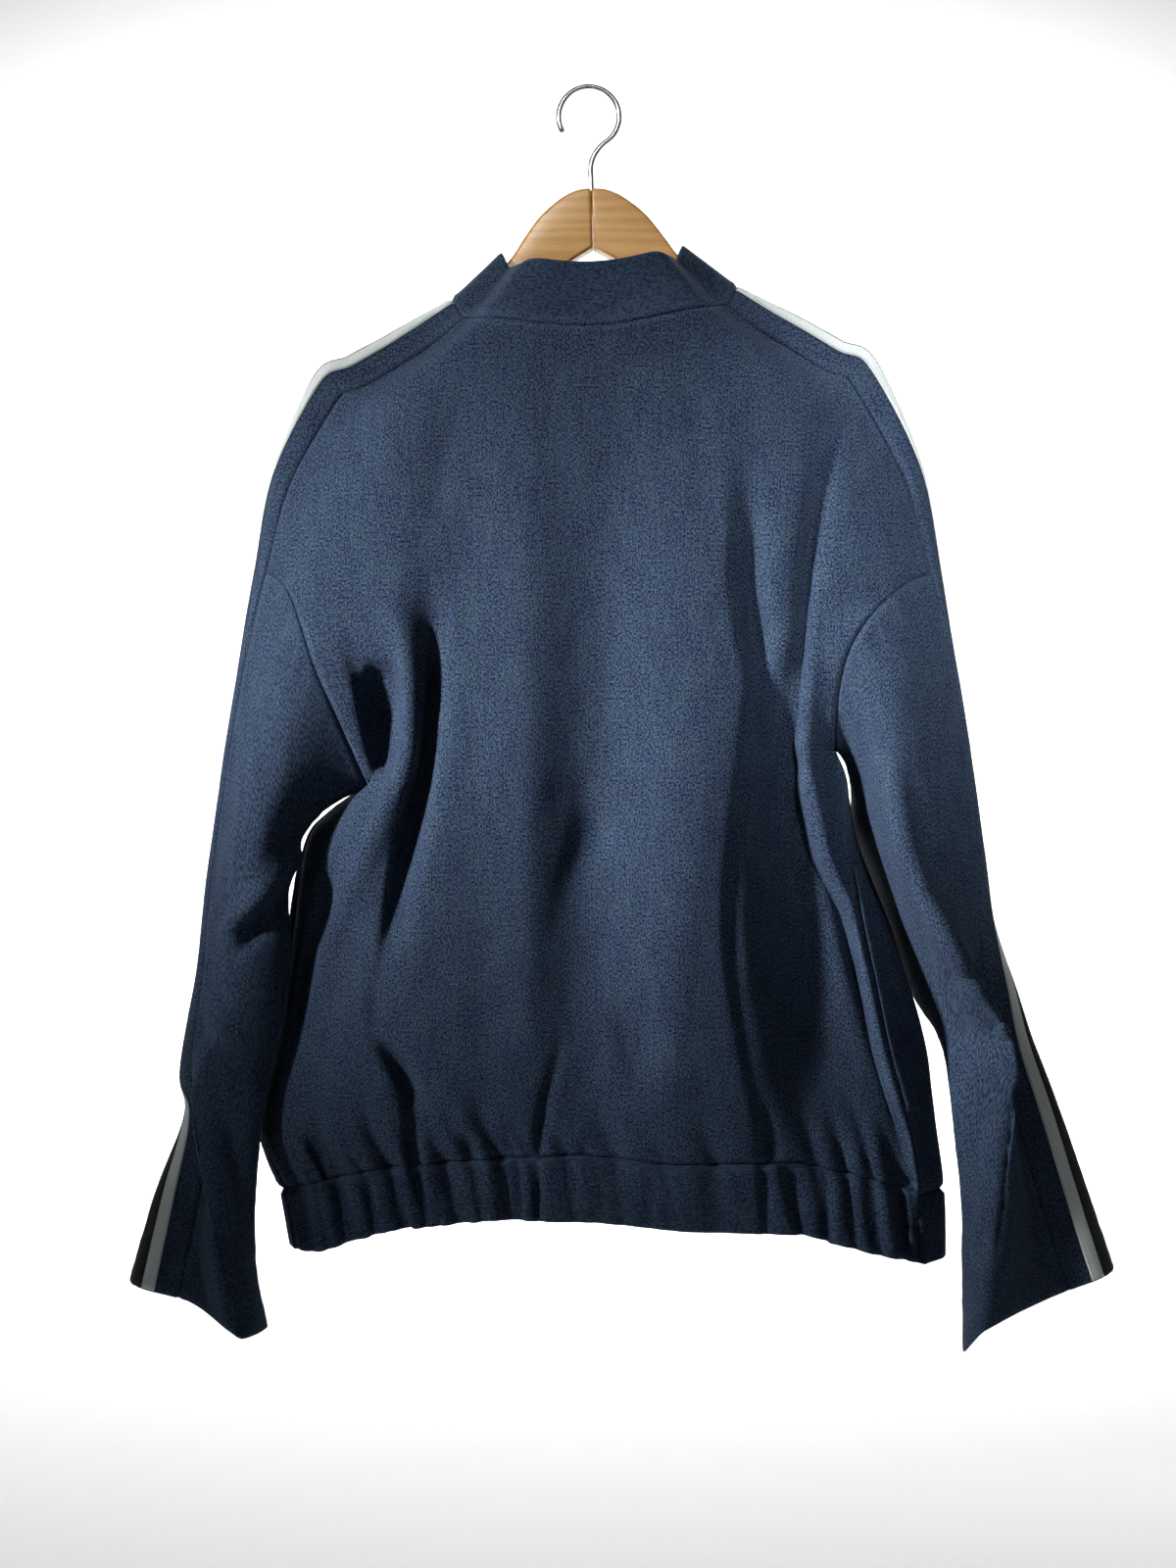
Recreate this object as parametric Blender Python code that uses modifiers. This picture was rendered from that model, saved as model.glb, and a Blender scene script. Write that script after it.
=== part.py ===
"""Denim bomber jacket hung on a wooden hanger, zipped up, with its back towards -Y.

Metres, +Z up. +X is the wearer's right, +Y the wearer's front. The origin is the highest point
inside the hook, where the hanger rests on a rail. The tables below are in millimetres, and MM
turns them into metres.

Every piece of cloth is a wall built on a grid of points. A strip with the two tapes runs from the
collar over the shoulder to the cuff. Sleeve rows run from that strip round a crest to the underarm
seam. Rows of the back and of the fronts run between the strips, then the armholes, then the side
seams. Pieces that meet share the points of their seam, and each stops short of it by half a gap.
"""

import math
from typing import NamedTuple

import bmesh
import bpy
import numpy as np
from mathutils import Matrix, Vector

MM = 0.001
SEAM_GAP = 0.46
CLOTH_WALL = 1.6
COLLAR_WALL = 2.4
BAND_WALL = 2.0
TAPE_WALL = 1.0
WELT_WALL = 1.2

STRIP_HALF = 27.0
TAPE_WIDTH = 10.0
STRIP_COLUMNS = (-STRIP_HALF, -TAPE_WIDTH, 0.0, TAPE_WIDTH, STRIP_HALF)
ARMHOLE_ROW = 6.0
ARMPIT_ROW = 10.0
WAIST_ROW = 16.0
HEM_ROW = 17.0
CUFF_ROW = 17.0

SHOULDER_STEPS = 9
ARMHOLE_STEPS = 6
BODY_STEPS = 9
BAND_STEPS = 4
SLEEVE_STEPS = 18
BACK_COLUMNS = 24
FRONT_COLUMNS = 8
COLLAR_STEPS = 3

COLLAR_HEIGHT = 48.0
COLLAR_LEAN = (0.31, 0.345)
BLADE_X = 115.0
BACK_EASING = (-1.2, -0.8, -0.4, 0.4, 0.8, 1.2)
BULGE_Y = 8.0
ZIP_HALF = 3.2
WELT_WIDTH = 10.0


class StripRow(NamedTuple):
    """Middle of the shoulder strip, the turn of its face to the back, and how it bends."""

    x: float
    y: float
    z: float
    face: float
    radius: float
    bend_back: float
    bend_front: float


class SleeveRow(NamedTuple):
    """One row of a sleeve: back crest, underarm seam and front crest, how soft the crest is, and
    the angle at which the back comes round to the seam."""

    crest_x: float
    crest_y: float
    crest_z: float
    inner_x: float
    inner_y: float
    inner_z: float
    front_x: float
    front_y: float
    front_z: float
    soft: float
    tuck: float


class BodyRow(NamedTuple):
    """One row of the body: depth of back and front, edge headings and how far the middle sags."""

    row: float
    back_left: float
    back_mid: float
    back_right: float
    heading_left: float
    heading_right: float
    front_left: float
    front_right: float
    front_heading_left: float
    front_heading_right: float
    zip_y: float
    zip_z: float
    sag: float
    front_bow: float


class SidePoint(NamedTuple):
    """A point of a side seam, from the armpit to the hem, and how far the front bulges past it."""

    row: float
    x: float
    y: float
    z: float
    past: float


class Fold(NamedTuple):
    """A trough (positive depth) or ridge of the back or front, through three points."""

    start: tuple
    middle: tuple
    end: tuple
    width: float
    depth_start: float
    depth_middle: float
    depth_end: float


STRIPS = {
    "left": (
        StripRow(-94, -4, -148, 12, 20, 43, 67),
        StripRow(-117, -4, -160.5, 18, 14, 58, 88),
        StripRow(-140.5, -4, -174, 22, 12, 58, 100),
        StripRow(-165, -4, -187.5, 24, 11, 56, 102),
        StripRow(-189, -3, -201, 20, 11, 60, 98),
        StripRow(-216.5, 2, -266, -14, 14, 86, 66),
        StripRow(-228, 6, -335, -28, 17, 84, 66),
        StripRow(-237, 8, -392, -34, 19, 78, 62),
        StripRow(-245, 8, -445, -36, 20, 76, 60),
        StripRow(-251.5, 8, -489, -36, 20, 76, 60),
        StripRow(-259, 8, -543, -36, 20, 76, 60),
        StripRow(-262.5, 8, -574, -36, 20, 76, 60),
        StripRow(-267, 8, -611, -34, 19, 76, 62),
        StripRow(-280, 6, -681, -24, 18, 72, 68),
        StripRow(-279, 1, -711, 12, 18, 56, 80),
        StripRow(-292, -6, -761, 46, 22, 36, 96),
        StripRow(-300, -8, -796, 54, 24, 30, 100),
        StripRow(-307.5, -10, -830, 60, 24, 28, 104),
    ),
    "right": (
        StripRow(103, -4, -139, 12, 20, 43, 67),
        StripRow(127, -4, -151, 18, 14, 58, 88),
        StripRow(150.5, -4, -163, 22, 12, 58, 100),
        StripRow(175, -4, -177, 24, 11, 56, 102),
        StripRow(199, -3, -191, 20, 11, 60, 98),
        StripRow(230, 1, -262, -8, 14, 84, 70),
        StripRow(241.5, 5, -336, -28, 17, 84, 66),
        StripRow(247.5, 8, -379, -34, 19, 78, 62),
        StripRow(254.5, 8, -422.5, -36, 20, 76, 60),
        StripRow(262.5, 8, -475.5, -36, 20, 76, 60),
        StripRow(271.5, 7, -530, -30, 20, 74, 64),
        StripRow(279, 4, -574, -12, 20, 66, 72),
        StripRow(293.5, 0, -618.5, 20, 20, 52, 84),
        StripRow(304, -5, -660.5, 40, 20, 40, 94),
        StripRow(319.5, -7, -707.5, 50, 22, 34, 98),
        StripRow(334.5, -8, -755.5, 55, 23, 30, 100),
        StripRow(346, -9, -793, 57, 24, 28, 102),
        StripRow(355.5, -10, -822, 58, 24, 28, 104),
    ),
}

SLEEVES = {
    "left": (
        SleeveRow(-179, -50, -415, -151, -14, -483, -186, 46, -416, 1.0, 35),
        SleeveRow(-197, -53, -446, -168, -14, -489, -205, 48, -446, 1.0, 40),
        SleeveRow(-210, -54, -476, -186, -16, -502, -218, 48, -476, 1.0, 40),
        SleeveRow(-221, -56, -508, -200, -18, -524, -228, 46, -508, 1.0, 30),
        SleeveRow(-229, -56, -541, -205, -22, -560, -234, 42, -545, 0.9, 12),
        SleeveRow(-235, -42, -581, -203, -24, -583, -236, 38, -580, 0.8, 12),
        SleeveRow(-238, -44, -621, -205, -26, -620, -239, 36, -618, 0.8, 12),
        SleeveRow(-262, -41, -680, -217, -26, -682, -250, 34, -680, 0.7, 12),
        SleeveRow(-270, -38, -709, -224, -26, -727, -256, 32, -716, 0.5, 12),
        SleeveRow(-262, -44, -753, -227, -26, -777, -263, 30, -766, 0.35, 12),
        SleeveRow(-249, -50, -798, -226, -26, -814, -266, 28, -801, 0.35, 12),
        SleeveRow(-233, -55, -853, -219, -25, -852, -268, 26, -842, 0.35, 12),
    ),
    "right": (
        SleeveRow(178, -51, -386, 170, -14, -457, 192, 46, -396, 1.0, 12),
        SleeveRow(193, -54, -430, 180, 0, -470, 208, 48, -432, 0.9, 15),
        SleeveRow(200, -54, -466, 185, 20, -489, 220, 48, -466, 0.7, 0),
        SleeveRow(205, -56, -496, 187, 34, -516, 230, 49, -500, 0.6, -12),
        SleeveRow(215, -56, -535, 203, 36, -558, 242, 49, -542, 0.5, -12),
        SleeveRow(233, -54, -573, 217.5, 36, -601, 254, 48, -582, 0.5, -10),
        SleeveRow(258, -48, -616, 230, 28, -632, 264, 43, -622, 0.5, 0),
        SleeveRow(285, -41, -651, 246, 6, -662, 274, 37, -660, 0.5, 10),
        SleeveRow(290, -42, -696, 251, -10, -707, 286, 32, -706, 0.4, 12),
        SleeveRow(282, -46, -750, 255, -14, -757, 296, 30, -756, 0.35, 12),
        SleeveRow(274, -50, -788, 257, -16, -800, 302, 28, -796, 0.35, 12),
        SleeveRow(265, -55, -848, 257, -20, -870, 310, 26, -848, 0.35, 12),
    ),
}

BODY = (
    BodyRow(0, -46, -50, -46, 20, 20, 40, 40, 20, 20, 46, -240, 14.5, 30),
    BodyRow(1, -44, -51, -44, 18, 18, 38, 38, 8, 8, 48, -262, 12, 18),
    BodyRow(2, -43, -52, -43, 16, 16, 38, 38, 6, 6, 50, -286, 9, 8),
    BodyRow(3, -45, -54, -45, 16, 16, 40, 40, 6, 6, 51, -312, 6, 2),
    BodyRow(4, -49, -56, -49, 20, 20, 42, 42, 12, 12, 52, -340, 4, 0),
    BodyRow(5, -54, -59, -54, 34, 34, 44, 44, 34, 34, 53, -370, 2, 0),
    BodyRow(6, -57, -61, -57, 46, 46, 50, 50, 46, 46, 54, -400, 0, 0),
    BodyRow(8, -58, -62, -58, 24, 14, 54, 54, 14, 14, 55, -462, 0, 0),
    BodyRow(10, -58, -63, -58, 66, 36, 56, 56, 70, 20, 56, -530, 0, 0),
    BodyRow(11, -58, -63, -58, 84, 42, 56, 54, 88, -10, 56, -568, 0, 0),
    BodyRow(12, -59, -63, -58, 88, 45, 56, 54, 88, -30, 56, -612, 0, 0),
    BodyRow(14, -60, -63, -58, 90, 45, 55, 53, 90, -35, 55, -690, 0, 0),
    BodyRow(15, -61, -64, -59, 92, 50, 55, 53, 92, -35, 55, -722, 0, 0),
    BodyRow(16, -55, -59, -53, 88, 55, 51, 49, 88, -30, 52, -748, 0, 0),
    BodyRow(17, -51, -55, -49, 85, 60, 48, 46, 85, -20, 49, -790, 0, 0),
)

SIDES = {
    "left": (
        SidePoint(10, -151, -14, -483, 0),
        SidePoint(10.5, -176, 0, -499, 1),
        SidePoint(11, -194, 8, -520, 2),
        SidePoint(12, -204, 10, -580, 2),
        SidePoint(13, -210, 10, -630, 2),
        SidePoint(14, -219, 10, -675, 2),
        SidePoint(15, -227, 10, -726, 2),
        SidePoint(16, -213, 6, -765, 2),
        SidePoint(17, -205, 4, -804, 2),
    ),
    "right": (
        SidePoint(10, 170, -14, -457, 0),
        SidePoint(10.5, 178, -24, -482, 2),
        SidePoint(11, 178, -28, -520, 8),
        SidePoint(12, 184, -30, -572, 23),
        SidePoint(13, 193, -30, -618, 29),
        SidePoint(14, 203, -30, -664, 32),
        SidePoint(15, 220, -28, -720, 22),
        SidePoint(16, 228, -24, -763, 19),
        SidePoint(17, 231, -20, -811, 17),
    ),
}

# Extra height of the waist seam and of the hem over a straight line between the side seams,
# at places across the back from left to right.
WAIST_PLACES = (0.0, 0.08, 0.2, 0.35, 0.5, 0.62, 0.8, 0.9, 1.0)
WAIST_RISE = (0.0, 8.0, 23.0, 31.0, 34.0, 27.0, 26.0, 14.0, 0.0)
HEM_RISE = (0.0, 2.0, 22.0, 32.0, 32.0, 27.0, 24.0, 11.0, 0.0)

BACK_FOLDS = (
    Fold((-105, -351), (-108, -430), (-131, -580), 13, 2, 11, 2),
    Fold((-131, -377), (-117, -445), (-157, -547), 12, -1, -6, -2),
    Fold((-137, -405), (-138, -435), (-140, -460), 15, 2, 6, 2),
    Fold((165, -235), (148, -330), (145, -370), 12, 1, 5, 1),
    Fold((118, -270), (110, -330), (112, -385), 14, 1, 4, 2),
    Fold((131, -377), (128, -547), (144, -740), 26, 3, 13, 7),
    Fold((150, -410), (165, -515), (212, -720), 13, -2, -5, -2),
    Fold((-6, -325), (-12, -520), (-18, -700), 22, 1, 4, 2),
    Fold((-72, -300), (-74, -500), (-78, -660), 22, -1, -3, -1),
    Fold((46, -300), (50, -500), (52, -680), 24, -1, -3, -1),
    Fold((-150, -540), (-172, -620), (-188, -700), 13, 1, 4, 2),
    Fold((-131, -660), (-117, -690), (-108, -705), 13, 1, 5, 2),
)

FRONT_FOLDS = (
    Fold((-120, -330), (-126, -480), (-138, -650), 20, 2, 8, 3),
    Fold((118, -320), (126, -480), (142, -660), 20, 2, 9, 3),
    Fold((-60, -420), (-62, -560), (-58, -700), 18, 1, 4, 2),
    Fold((66, -400), (64, -560), (70, -700), 18, 1, 4, 2),
)

# Gathers of the waist: middle across the back (0 left, 1 right), half width, depth.
BACK_GATHERS = (
    (0.06, 0.025, 4.0),
    (0.14, 0.022, 5.0),
    (0.22, 0.022, 5.0),
    (0.3, 0.024, 4.0),
    (0.39, 0.024, 4.0),
    (0.55, 0.03, 2.0),
    (0.7, 0.03, 1.5),
    (0.88, 0.028, 3.0),
    (0.95, 0.022, 4.0),
)


# ---------------------------------------------------------------- curves


def table_at(rows, places, place):
    """Columns of a table at a place between its rows, on a smooth curve through them."""
    values = np.array(rows, float)
    places = np.array(places, float)
    slopes = np.gradient(values, places, axis=0)
    slopes[1:-1] = (values[2:] - values[:-2]) / (places[2:] - places[:-2])[:, None]
    k = int(np.clip(np.searchsorted(places, place, "right") - 1, 0, len(places) - 2))
    step = places[k + 1] - places[k]
    t = (place - places[k]) / step
    h00 = (1 + 2 * t) * (1 - t) ** 2
    h10 = t * (1 - t) ** 2
    h01 = t * t * (3 - 2 * t)
    h11 = t * t * (t - 1)
    return h00 * values[k] + h10 * step * slopes[k] + h01 * values[k + 1] + h11 * step * slopes[k + 1]


def unit(vector):
    return vector / max(np.linalg.norm(vector), 1e-9)


def curve_through(nodes, directions, softness, count, first=0.0):
    """Points at even lengths along cubic spans through nodes, each leaving along its direction.

    Where first is given, the first step is that long and the others share the rest evenly.
    """
    nodes = np.array(nodes, float)
    points = [nodes[:1]]
    t = np.linspace(0, 1, 25)[1:, None]
    for k in range(len(nodes) - 1):
        length = np.linalg.norm(nodes[k + 1] - nodes[k])
        leave = unit(directions[k]) * length * 1.1 * softness[k]
        arrive = unit(directions[k + 1]) * length * 1.1 * softness[k + 1]
        span = (1 + 2 * t) * (1 - t) ** 2 * nodes[k] + t * (1 - t) ** 2 * leave
        span = span + t * t * (3 - 2 * t) * nodes[k + 1] + t * t * (t - 1) * arrive
        points.append(span)
    line = np.concatenate(points)
    along = np.concatenate([[0], np.cumsum(np.linalg.norm(np.diff(line, axis=0), axis=1))])
    wanted = np.linspace(0, along[-1], count)
    if first:
        wanted[1:] = np.linspace(first, along[-1], count - 1)
    return np.stack([np.interp(wanted, along, line[:, k]) for k in range(3)], axis=1)


def smooth_step(value):
    value = np.clip(value, 0, 1)
    return value * value * (3 - 2 * value)


# ---------------------------------------------------------------- the strip over the shoulder


def strip_frame(side, row):
    """Middle point, outward direction, forward direction and the bends of a strip at a row."""
    rows = STRIPS[side]
    places = range(len(rows))
    here = StripRow(*table_at(rows, places, row))
    before = table_at(rows, places, max(row - 0.25, 0))
    after = table_at(rows, places, min(row + 0.25, CUFF_ROW))
    along = unit(after[:3] - before[:3])
    outward = unit(np.cross(along, (0, 1, 0)))
    if side == "left":
        outward = -outward
    forward = unit(np.array((0, 1, 0)) - along * along[1])
    turn = math.radians(here.face)
    normal = math.cos(turn) * outward - math.sin(turn) * forward
    across = math.cos(turn) * forward + math.sin(turn) * outward
    return here, normal, across


def strip_point(side, row, reach):
    """Point of the strip at a reach from its middle (positive to the front) and its direction."""
    here, normal, across = strip_frame(side, row)
    bend = here.bend_front if reach > 0 else here.bend_back
    curved = min(abs(reach), here.radius * math.radians(bend))
    angle = curved / here.radius
    flat = abs(reach) - curved
    sideways = here.radius * math.sin(angle) + flat * math.cos(angle)
    down = here.radius * (1 - math.cos(angle)) + flat * math.sin(angle)
    sign = 1 if reach > 0 else -1
    point = np.array(here[:3]) + sign * sideways * across - down * normal
    direction = sign * math.cos(angle) * across - math.sin(angle) * normal
    return point, direction


# ---------------------------------------------------------------- sleeves


def sleeve_line(side, row, front, count):
    """Points of a sleeve row from the edge of the strip to the underarm seam."""
    rows = SLEEVES[side]
    here = SleeveRow(*table_at(rows, [ARMHOLE_ROW + k for k in range(len(rows))], row))
    start, away = strip_point(side, row, STRIP_HALF if front else -STRIP_HALF)
    crest = np.array(here[6:9] if front else here[0:3])
    inner = np.array(here[3:6])
    middle = unit(inner - start)
    tuck = math.radians(here.tuck)
    arrive = np.array((0, math.cos(tuck), 0)) - math.sin(tuck) * middle
    if front:
        arrive = np.array((0, -1.0, 0)) + 0.8 * middle
    return curve_through(
        (start, crest, inner),
        (away, middle, unit(arrive)),
        (0.8, 1.0 if front else here.soft, 0.8),
        count,
    )


# ---------------------------------------------------------------- body


def body_row(row):
    return BodyRow(*table_at(BODY, [entry.row for entry in BODY], row))


def edge_point(side, row, front):
    """Point where a row of the back or front ends: strip, then armhole, then side seam."""
    if row <= ARMHOLE_ROW:
        return strip_point(side, row, STRIP_HALF if front else -STRIP_HALF)[0]
    if row <= ARMPIT_ROW:
        steps = 240
        place = (row - ARMHOLE_ROW) / (ARMPIT_ROW - ARMHOLE_ROW) * steps
        line = armhole_line(side, front, steps + 1)
        low = min(int(place), steps - 1)
        return line[low] + (place - low) * (line[low + 1] - line[low])
    return side_at(side, row)[1:4]


def side_at(side, row):
    rows = SIDES[side]
    return table_at(rows, [entry.row for entry in rows], row)


ARMHOLES = {}


def armhole_line(side, front, count):
    key = (side, front, count)
    if key not in ARMHOLES:
        ARMHOLES[key] = sleeve_line(side, ARMHOLE_ROW, front, count)
    return ARMHOLES[key]


def heading(degrees, towards, outwards):
    """Direction that leaves an edge at an angle from towards, turned to outwards."""
    turn = math.radians(degrees)
    return math.cos(turn) * towards + math.sin(turn) * outwards


def rise(row, place):
    """How far the seam at a place across the back stands above a straight line."""
    waist = np.interp(place, WAIST_PLACES, WAIST_RISE)
    hem = np.interp(place, WAIST_PLACES, HEM_RISE)
    above = waist * smooth_step((row - 12.5) / (WAIST_ROW - 12.5))
    return np.where(row <= WAIST_ROW, above, waist + (hem - waist) * (row - WAIST_ROW))


def plain_back_line(row, count):
    """Points of a row of the back from its left to its right edge, with no folds."""
    here = body_row(row)
    left = edge_point("left", row, False)
    right = edge_point("right", row, False)
    towards = unit(right - left)
    behind = np.array((0, -1.0, 0))

    width = right[0] - left[0]

    def inside(place, depth):
        point = left + place * (right - left)
        return np.array((point[0], depth, point[2] - here.sag * math.sin(math.pi * place)))

    nodes = (
        left,
        inside(np.clip((-BLADE_X - left[0]) / width, 0.12, 0.25), here.back_left),
        inside(0.5, here.back_mid),
        inside(1 - np.clip((right[0] - BLADE_X) / width, 0.12, 0.25), here.back_right),
        right,
    )
    directions = (
        heading(here.heading_left, towards, behind),
        unit(unit(nodes[2] - nodes[1]) + 0.3 * unit(nodes[1] - nodes[0])),
        towards,
        unit(unit(nodes[3] - nodes[2]) + 0.3 * unit(nodes[4] - nodes[3])),
        heading(here.heading_right, towards, -behind),
    )
    return curve_through(nodes, directions, (0.9, 1, 1, 1, 0.9), count)


def back_line(row, count):
    """Points of a row of the back, its depth evened out with the rows near it, and its folds."""
    line = plain_back_line(row, count)
    place = np.linspace(0, 1, count)
    last = ARMPIT_ROW if row <= ARMPIT_ROW else HEM_ROW
    near = [plain_back_line(float(np.clip(row + step, 0, last)), count)[:, 1] for step in BACK_EASING]
    inner = smooth_step(np.minimum(place, 1 - place) / 0.12)
    line[:, 1] += inner * (np.mean(near, axis=0) - line[:, 1])
    line[:, 2] += rise(row, place)
    window = smooth_step(np.minimum(place, 1 - place) / 0.07)
    line[:, 1] += window * folds_at(BACK_FOLDS, line)
    line[:, 1] += gathers_at(row, place)
    return line


def front_line(side, row, count):
    """Points of a row of one front from its outer edge to the zip."""
    here = body_row(row)
    sign = -1 if side == "left" else 1
    outer = edge_point(side, row, True)
    depth = here.front_left if side == "left" else here.front_right
    angle = here.front_heading_left if side == "left" else here.front_heading_right
    end = np.array((sign * ZIP_HALF, here.zip_y, here.zip_z))
    towards = unit(end - outer)
    ahead = np.array((0, 1.0, 0))
    middle = outer + 0.45 * (end - outer)
    middle = np.array((middle[0], depth, middle[2] - here.front_bow))
    if angle < 0:
        start = unit(math.cos(math.radians(angle)) * ahead + math.sin(math.radians(angle)) * towards)
    else:
        start = heading(angle, towards, ahead)
    nodes = [outer, middle, end]
    directions = [start, unit(end - middle + 0.4 * towards), np.array((-sign, 0, 0))]
    softness = [1, 1, 0.8]
    past = side_at(side, row)[4] if row > ARMPIT_ROW else 0
    if past > 0.5:
        bulge = outer + (sign * past, 0, 0)
        bulge[1] = max(BULGE_Y, outer[1] + past)
        nodes.insert(1, bulge)
        directions.insert(1, ahead)
        softness.insert(1, 1)
    line = curve_through(nodes, directions, softness, count, WELT_WIDTH)
    place = np.concatenate([[0], np.linspace(0.05, 1, count - 1)])
    window = smooth_step(np.minimum((place - 0.05) / 0.15, (1 - place) / 0.15))
    line[:, 1] -= window * folds_at(FRONT_FOLDS, line)
    line[:, 1] -= window * 3.0 * np.sin(place * 6 * math.pi) * waist_pull(row)
    return line


def waist_pull(row):
    """How strongly the gathers show at a row: none above, full at the waist seam and below."""
    return smooth_step((row - 14.6) / (WAIST_ROW - 14.6)) * (1 - 0.35 * smooth_step(row - WAIST_ROW))


def gathers_at(row, place):
    """Forward push of the back's gathers."""
    push = np.zeros_like(place)
    for middle, half, depth in BACK_GATHERS:
        push += depth * np.exp(-(((place - middle) / half) ** 2))
    window = smooth_step(np.minimum(place, 1 - place) / 0.04)
    return push * window * waist_pull(row)


def folds_at(folds, line):
    """Depth of the folds at the points of a row."""
    depth = np.zeros(len(line))
    t = np.linspace(0, 1, 21)[:, None]
    for fold in folds:
        start, middle, end = (np.array(p, float) for p in (fold.start, fold.middle, fold.end))
        pull = 2 * middle - 0.5 * (start + end)
        route = (1 - t) ** 2 * start + 2 * t * (1 - t) * pull + t * t * end
        away = np.linalg.norm(line[:, None, (0, 2)] - route[None], axis=2)
        nearest = away.argmin(axis=1)
        place = nearest / (len(route) - 1)
        height = np.interp(place, (0, 0.5, 1), (fold.depth_start, fold.depth_middle, fold.depth_end))
        depth += height * np.exp(-((away[np.arange(len(line)), nearest] / fold.width) ** 2))
    return depth


# ---------------------------------------------------------------- grids of points


def shoulder_rows():
    return list(np.linspace(0, ARMHOLE_ROW, SHOULDER_STEPS + 1))


def body_rows():
    armhole = np.linspace(ARMHOLE_ROW, ARMPIT_ROW, ARMHOLE_STEPS + 1)[1:]
    side = np.linspace(ARMPIT_ROW, WAIST_ROW, BODY_STEPS + 1)[1:]
    return shoulder_rows() + list(armhole) + list(side)


def sleeve_rows():
    return list(np.linspace(ARMHOLE_ROW, CUFF_ROW, SLEEVE_STEPS + 1))


def strip_rows():
    return shoulder_rows() + sleeve_rows()[1:]


def band_rows():
    return list(np.linspace(WAIST_ROW, HEM_ROW, BAND_STEPS + 1))


def strip_grid(side):
    return np.array([[strip_point(side, r, s)[0] for s in STRIP_COLUMNS] for r in strip_rows()])


def sleeve_grid(side, front):
    count = ARMHOLE_STEPS + 1
    return np.array([sleeve_line(side, row, front, count) for row in sleeve_rows()])


def back_grid():
    return np.array([back_line(row, BACK_COLUMNS + 1) for row in body_rows()])


def front_grid(side):
    return np.array([front_line(side, row, FRONT_COLUMNS + 1) for row in body_rows()])


def band_grid():
    """The waistband from the left edge of the zip round the back to the right edge."""
    rows = []
    for row in band_rows():
        left = front_line("left", row, FRONT_COLUMNS + 1)[::-1]
        back = back_line(row, BACK_COLUMNS + 1)
        right = front_line("right", row, FRONT_COLUMNS + 1)
        rows.append(np.concatenate([left, back[1:], right[1:]]))
    return np.array(rows)


def neck_line():
    """The neck seam from the left edge of the zip round the back to the right edge."""
    left = front_line("left", 0, FRONT_COLUMNS + 1)[::-1]
    left_strip = np.array([strip_point("left", 0, s)[0] for s in reversed(STRIP_COLUMNS)])
    back = back_line(0, BACK_COLUMNS + 1)
    right_strip = np.array([strip_point("right", 0, s)[0] for s in STRIP_COLUMNS])
    right = front_line("right", 0, FRONT_COLUMNS + 1)
    return np.concatenate([left, left_strip[1:], back[1:], right_strip[1:], right[1:]])


def collar_grid():
    """The stand collar: the neck seam, raised and drawn in towards the neck."""
    base = neck_line()
    middle = np.array(((base[:, 0].max() + base[:, 0].min()) / 2, 0.0))
    rows = []
    for step in range(COLLAR_STEPS + 1):
        height = step / COLLAR_STEPS
        points = base.copy()
        lean = np.where(base[:, 0] < middle[0], *COLLAR_LEAN)
        narrow = height * (0.04 + lean * smooth_step(np.abs(base[:, 0] - middle[0]) / 90))
        points[:, 0] = middle[0] + (base[:, 0] - middle[0]) * (1 - narrow)
        points[:, 1] = base[:, 1] * (1 - 0.28 * height)
        shift = np.linalg.norm(points[:, :2] - base[:, :2], axis=1)
        points[:, 2] += np.sqrt(np.maximum((COLLAR_HEIGHT * height) ** 2 - shift**2, 0))
        rows.append(points)
    return np.array(rows)


# ---------------------------------------------------------------- cloth walls


def grid_normals(grid):
    """Unnormalised outward normals of a grid whose columns run left and rows run down."""
    down = np.gradient(grid, axis=0)
    along = np.gradient(grid, axis=1)
    normals = np.cross(down, along)
    return normals / np.maximum(np.linalg.norm(normals, axis=2, keepdims=True), 1e-9)


class Panel:
    """A piece of cloth: its grid, its wall and which way its normals face."""

    def __init__(self, name, grid, wall, material, flip=False):
        self.name = name
        self.grid = grid
        self.wall = wall
        self.material = material
        self.flip = flip
        self.normals = grid_normals(grid) * (-1 if flip else 1)


def share_normals(panels):
    """Panels that meet at a seam get the same normal there, so that their edges stay parallel."""
    shared = {}
    for panel in panels:
        for point, normal in zip(panel.grid.reshape(-1, 3), panel.normals.reshape(-1, 3)):
            shared.setdefault(tuple(np.round(point, 2)), []).append(normal)
    for panel in panels:
        flat = panel.normals.reshape(-1, 3)
        for k, point in enumerate(panel.grid.reshape(-1, 3)):
            flat[k] = unit(np.sum(shared[tuple(np.round(point, 2))], axis=0))


def drawn_in(grid, normals, gap):
    """The grid with its four edges moved inwards, each so that its rim stands back half a gap."""
    made = grid.copy()
    for axis in (0, 1):
        lines = np.moveaxis(grid, axis, 0)
        facing = np.moveaxis(normals, axis, 0)
        moved = np.moveaxis(made, axis, 0)
        for edge, inner in ((0, 1), (-1, -2)):
            step = unit_rows(lines[inner] - lines[edge])
            rim = unit_rows(np.cross(np.gradient(lines[edge], axis=0), facing[edge]))
            square = np.abs(np.sum(step * rim, axis=1, keepdims=True))
            moved[edge] += step * gap / 2 / np.maximum(square, 0.25)
    return made


def add_rim(mesh, outer_a, outer_b, inner_b, inner_a):
    """Two triangles of a rim, split from its higher outer corner, as on the piece it faces."""
    height = [corner.co.z + 0.37 * corner.co.x for corner in (outer_a, outer_b)]
    if height[0] > height[1]:
        mesh.faces.new((outer_a, outer_b, inner_b))
        mesh.faces.new((outer_a, inner_b, inner_a))
    else:
        mesh.faces.new((outer_a, outer_b, inner_a))
        mesh.faces.new((outer_b, inner_b, inner_a))


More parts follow.
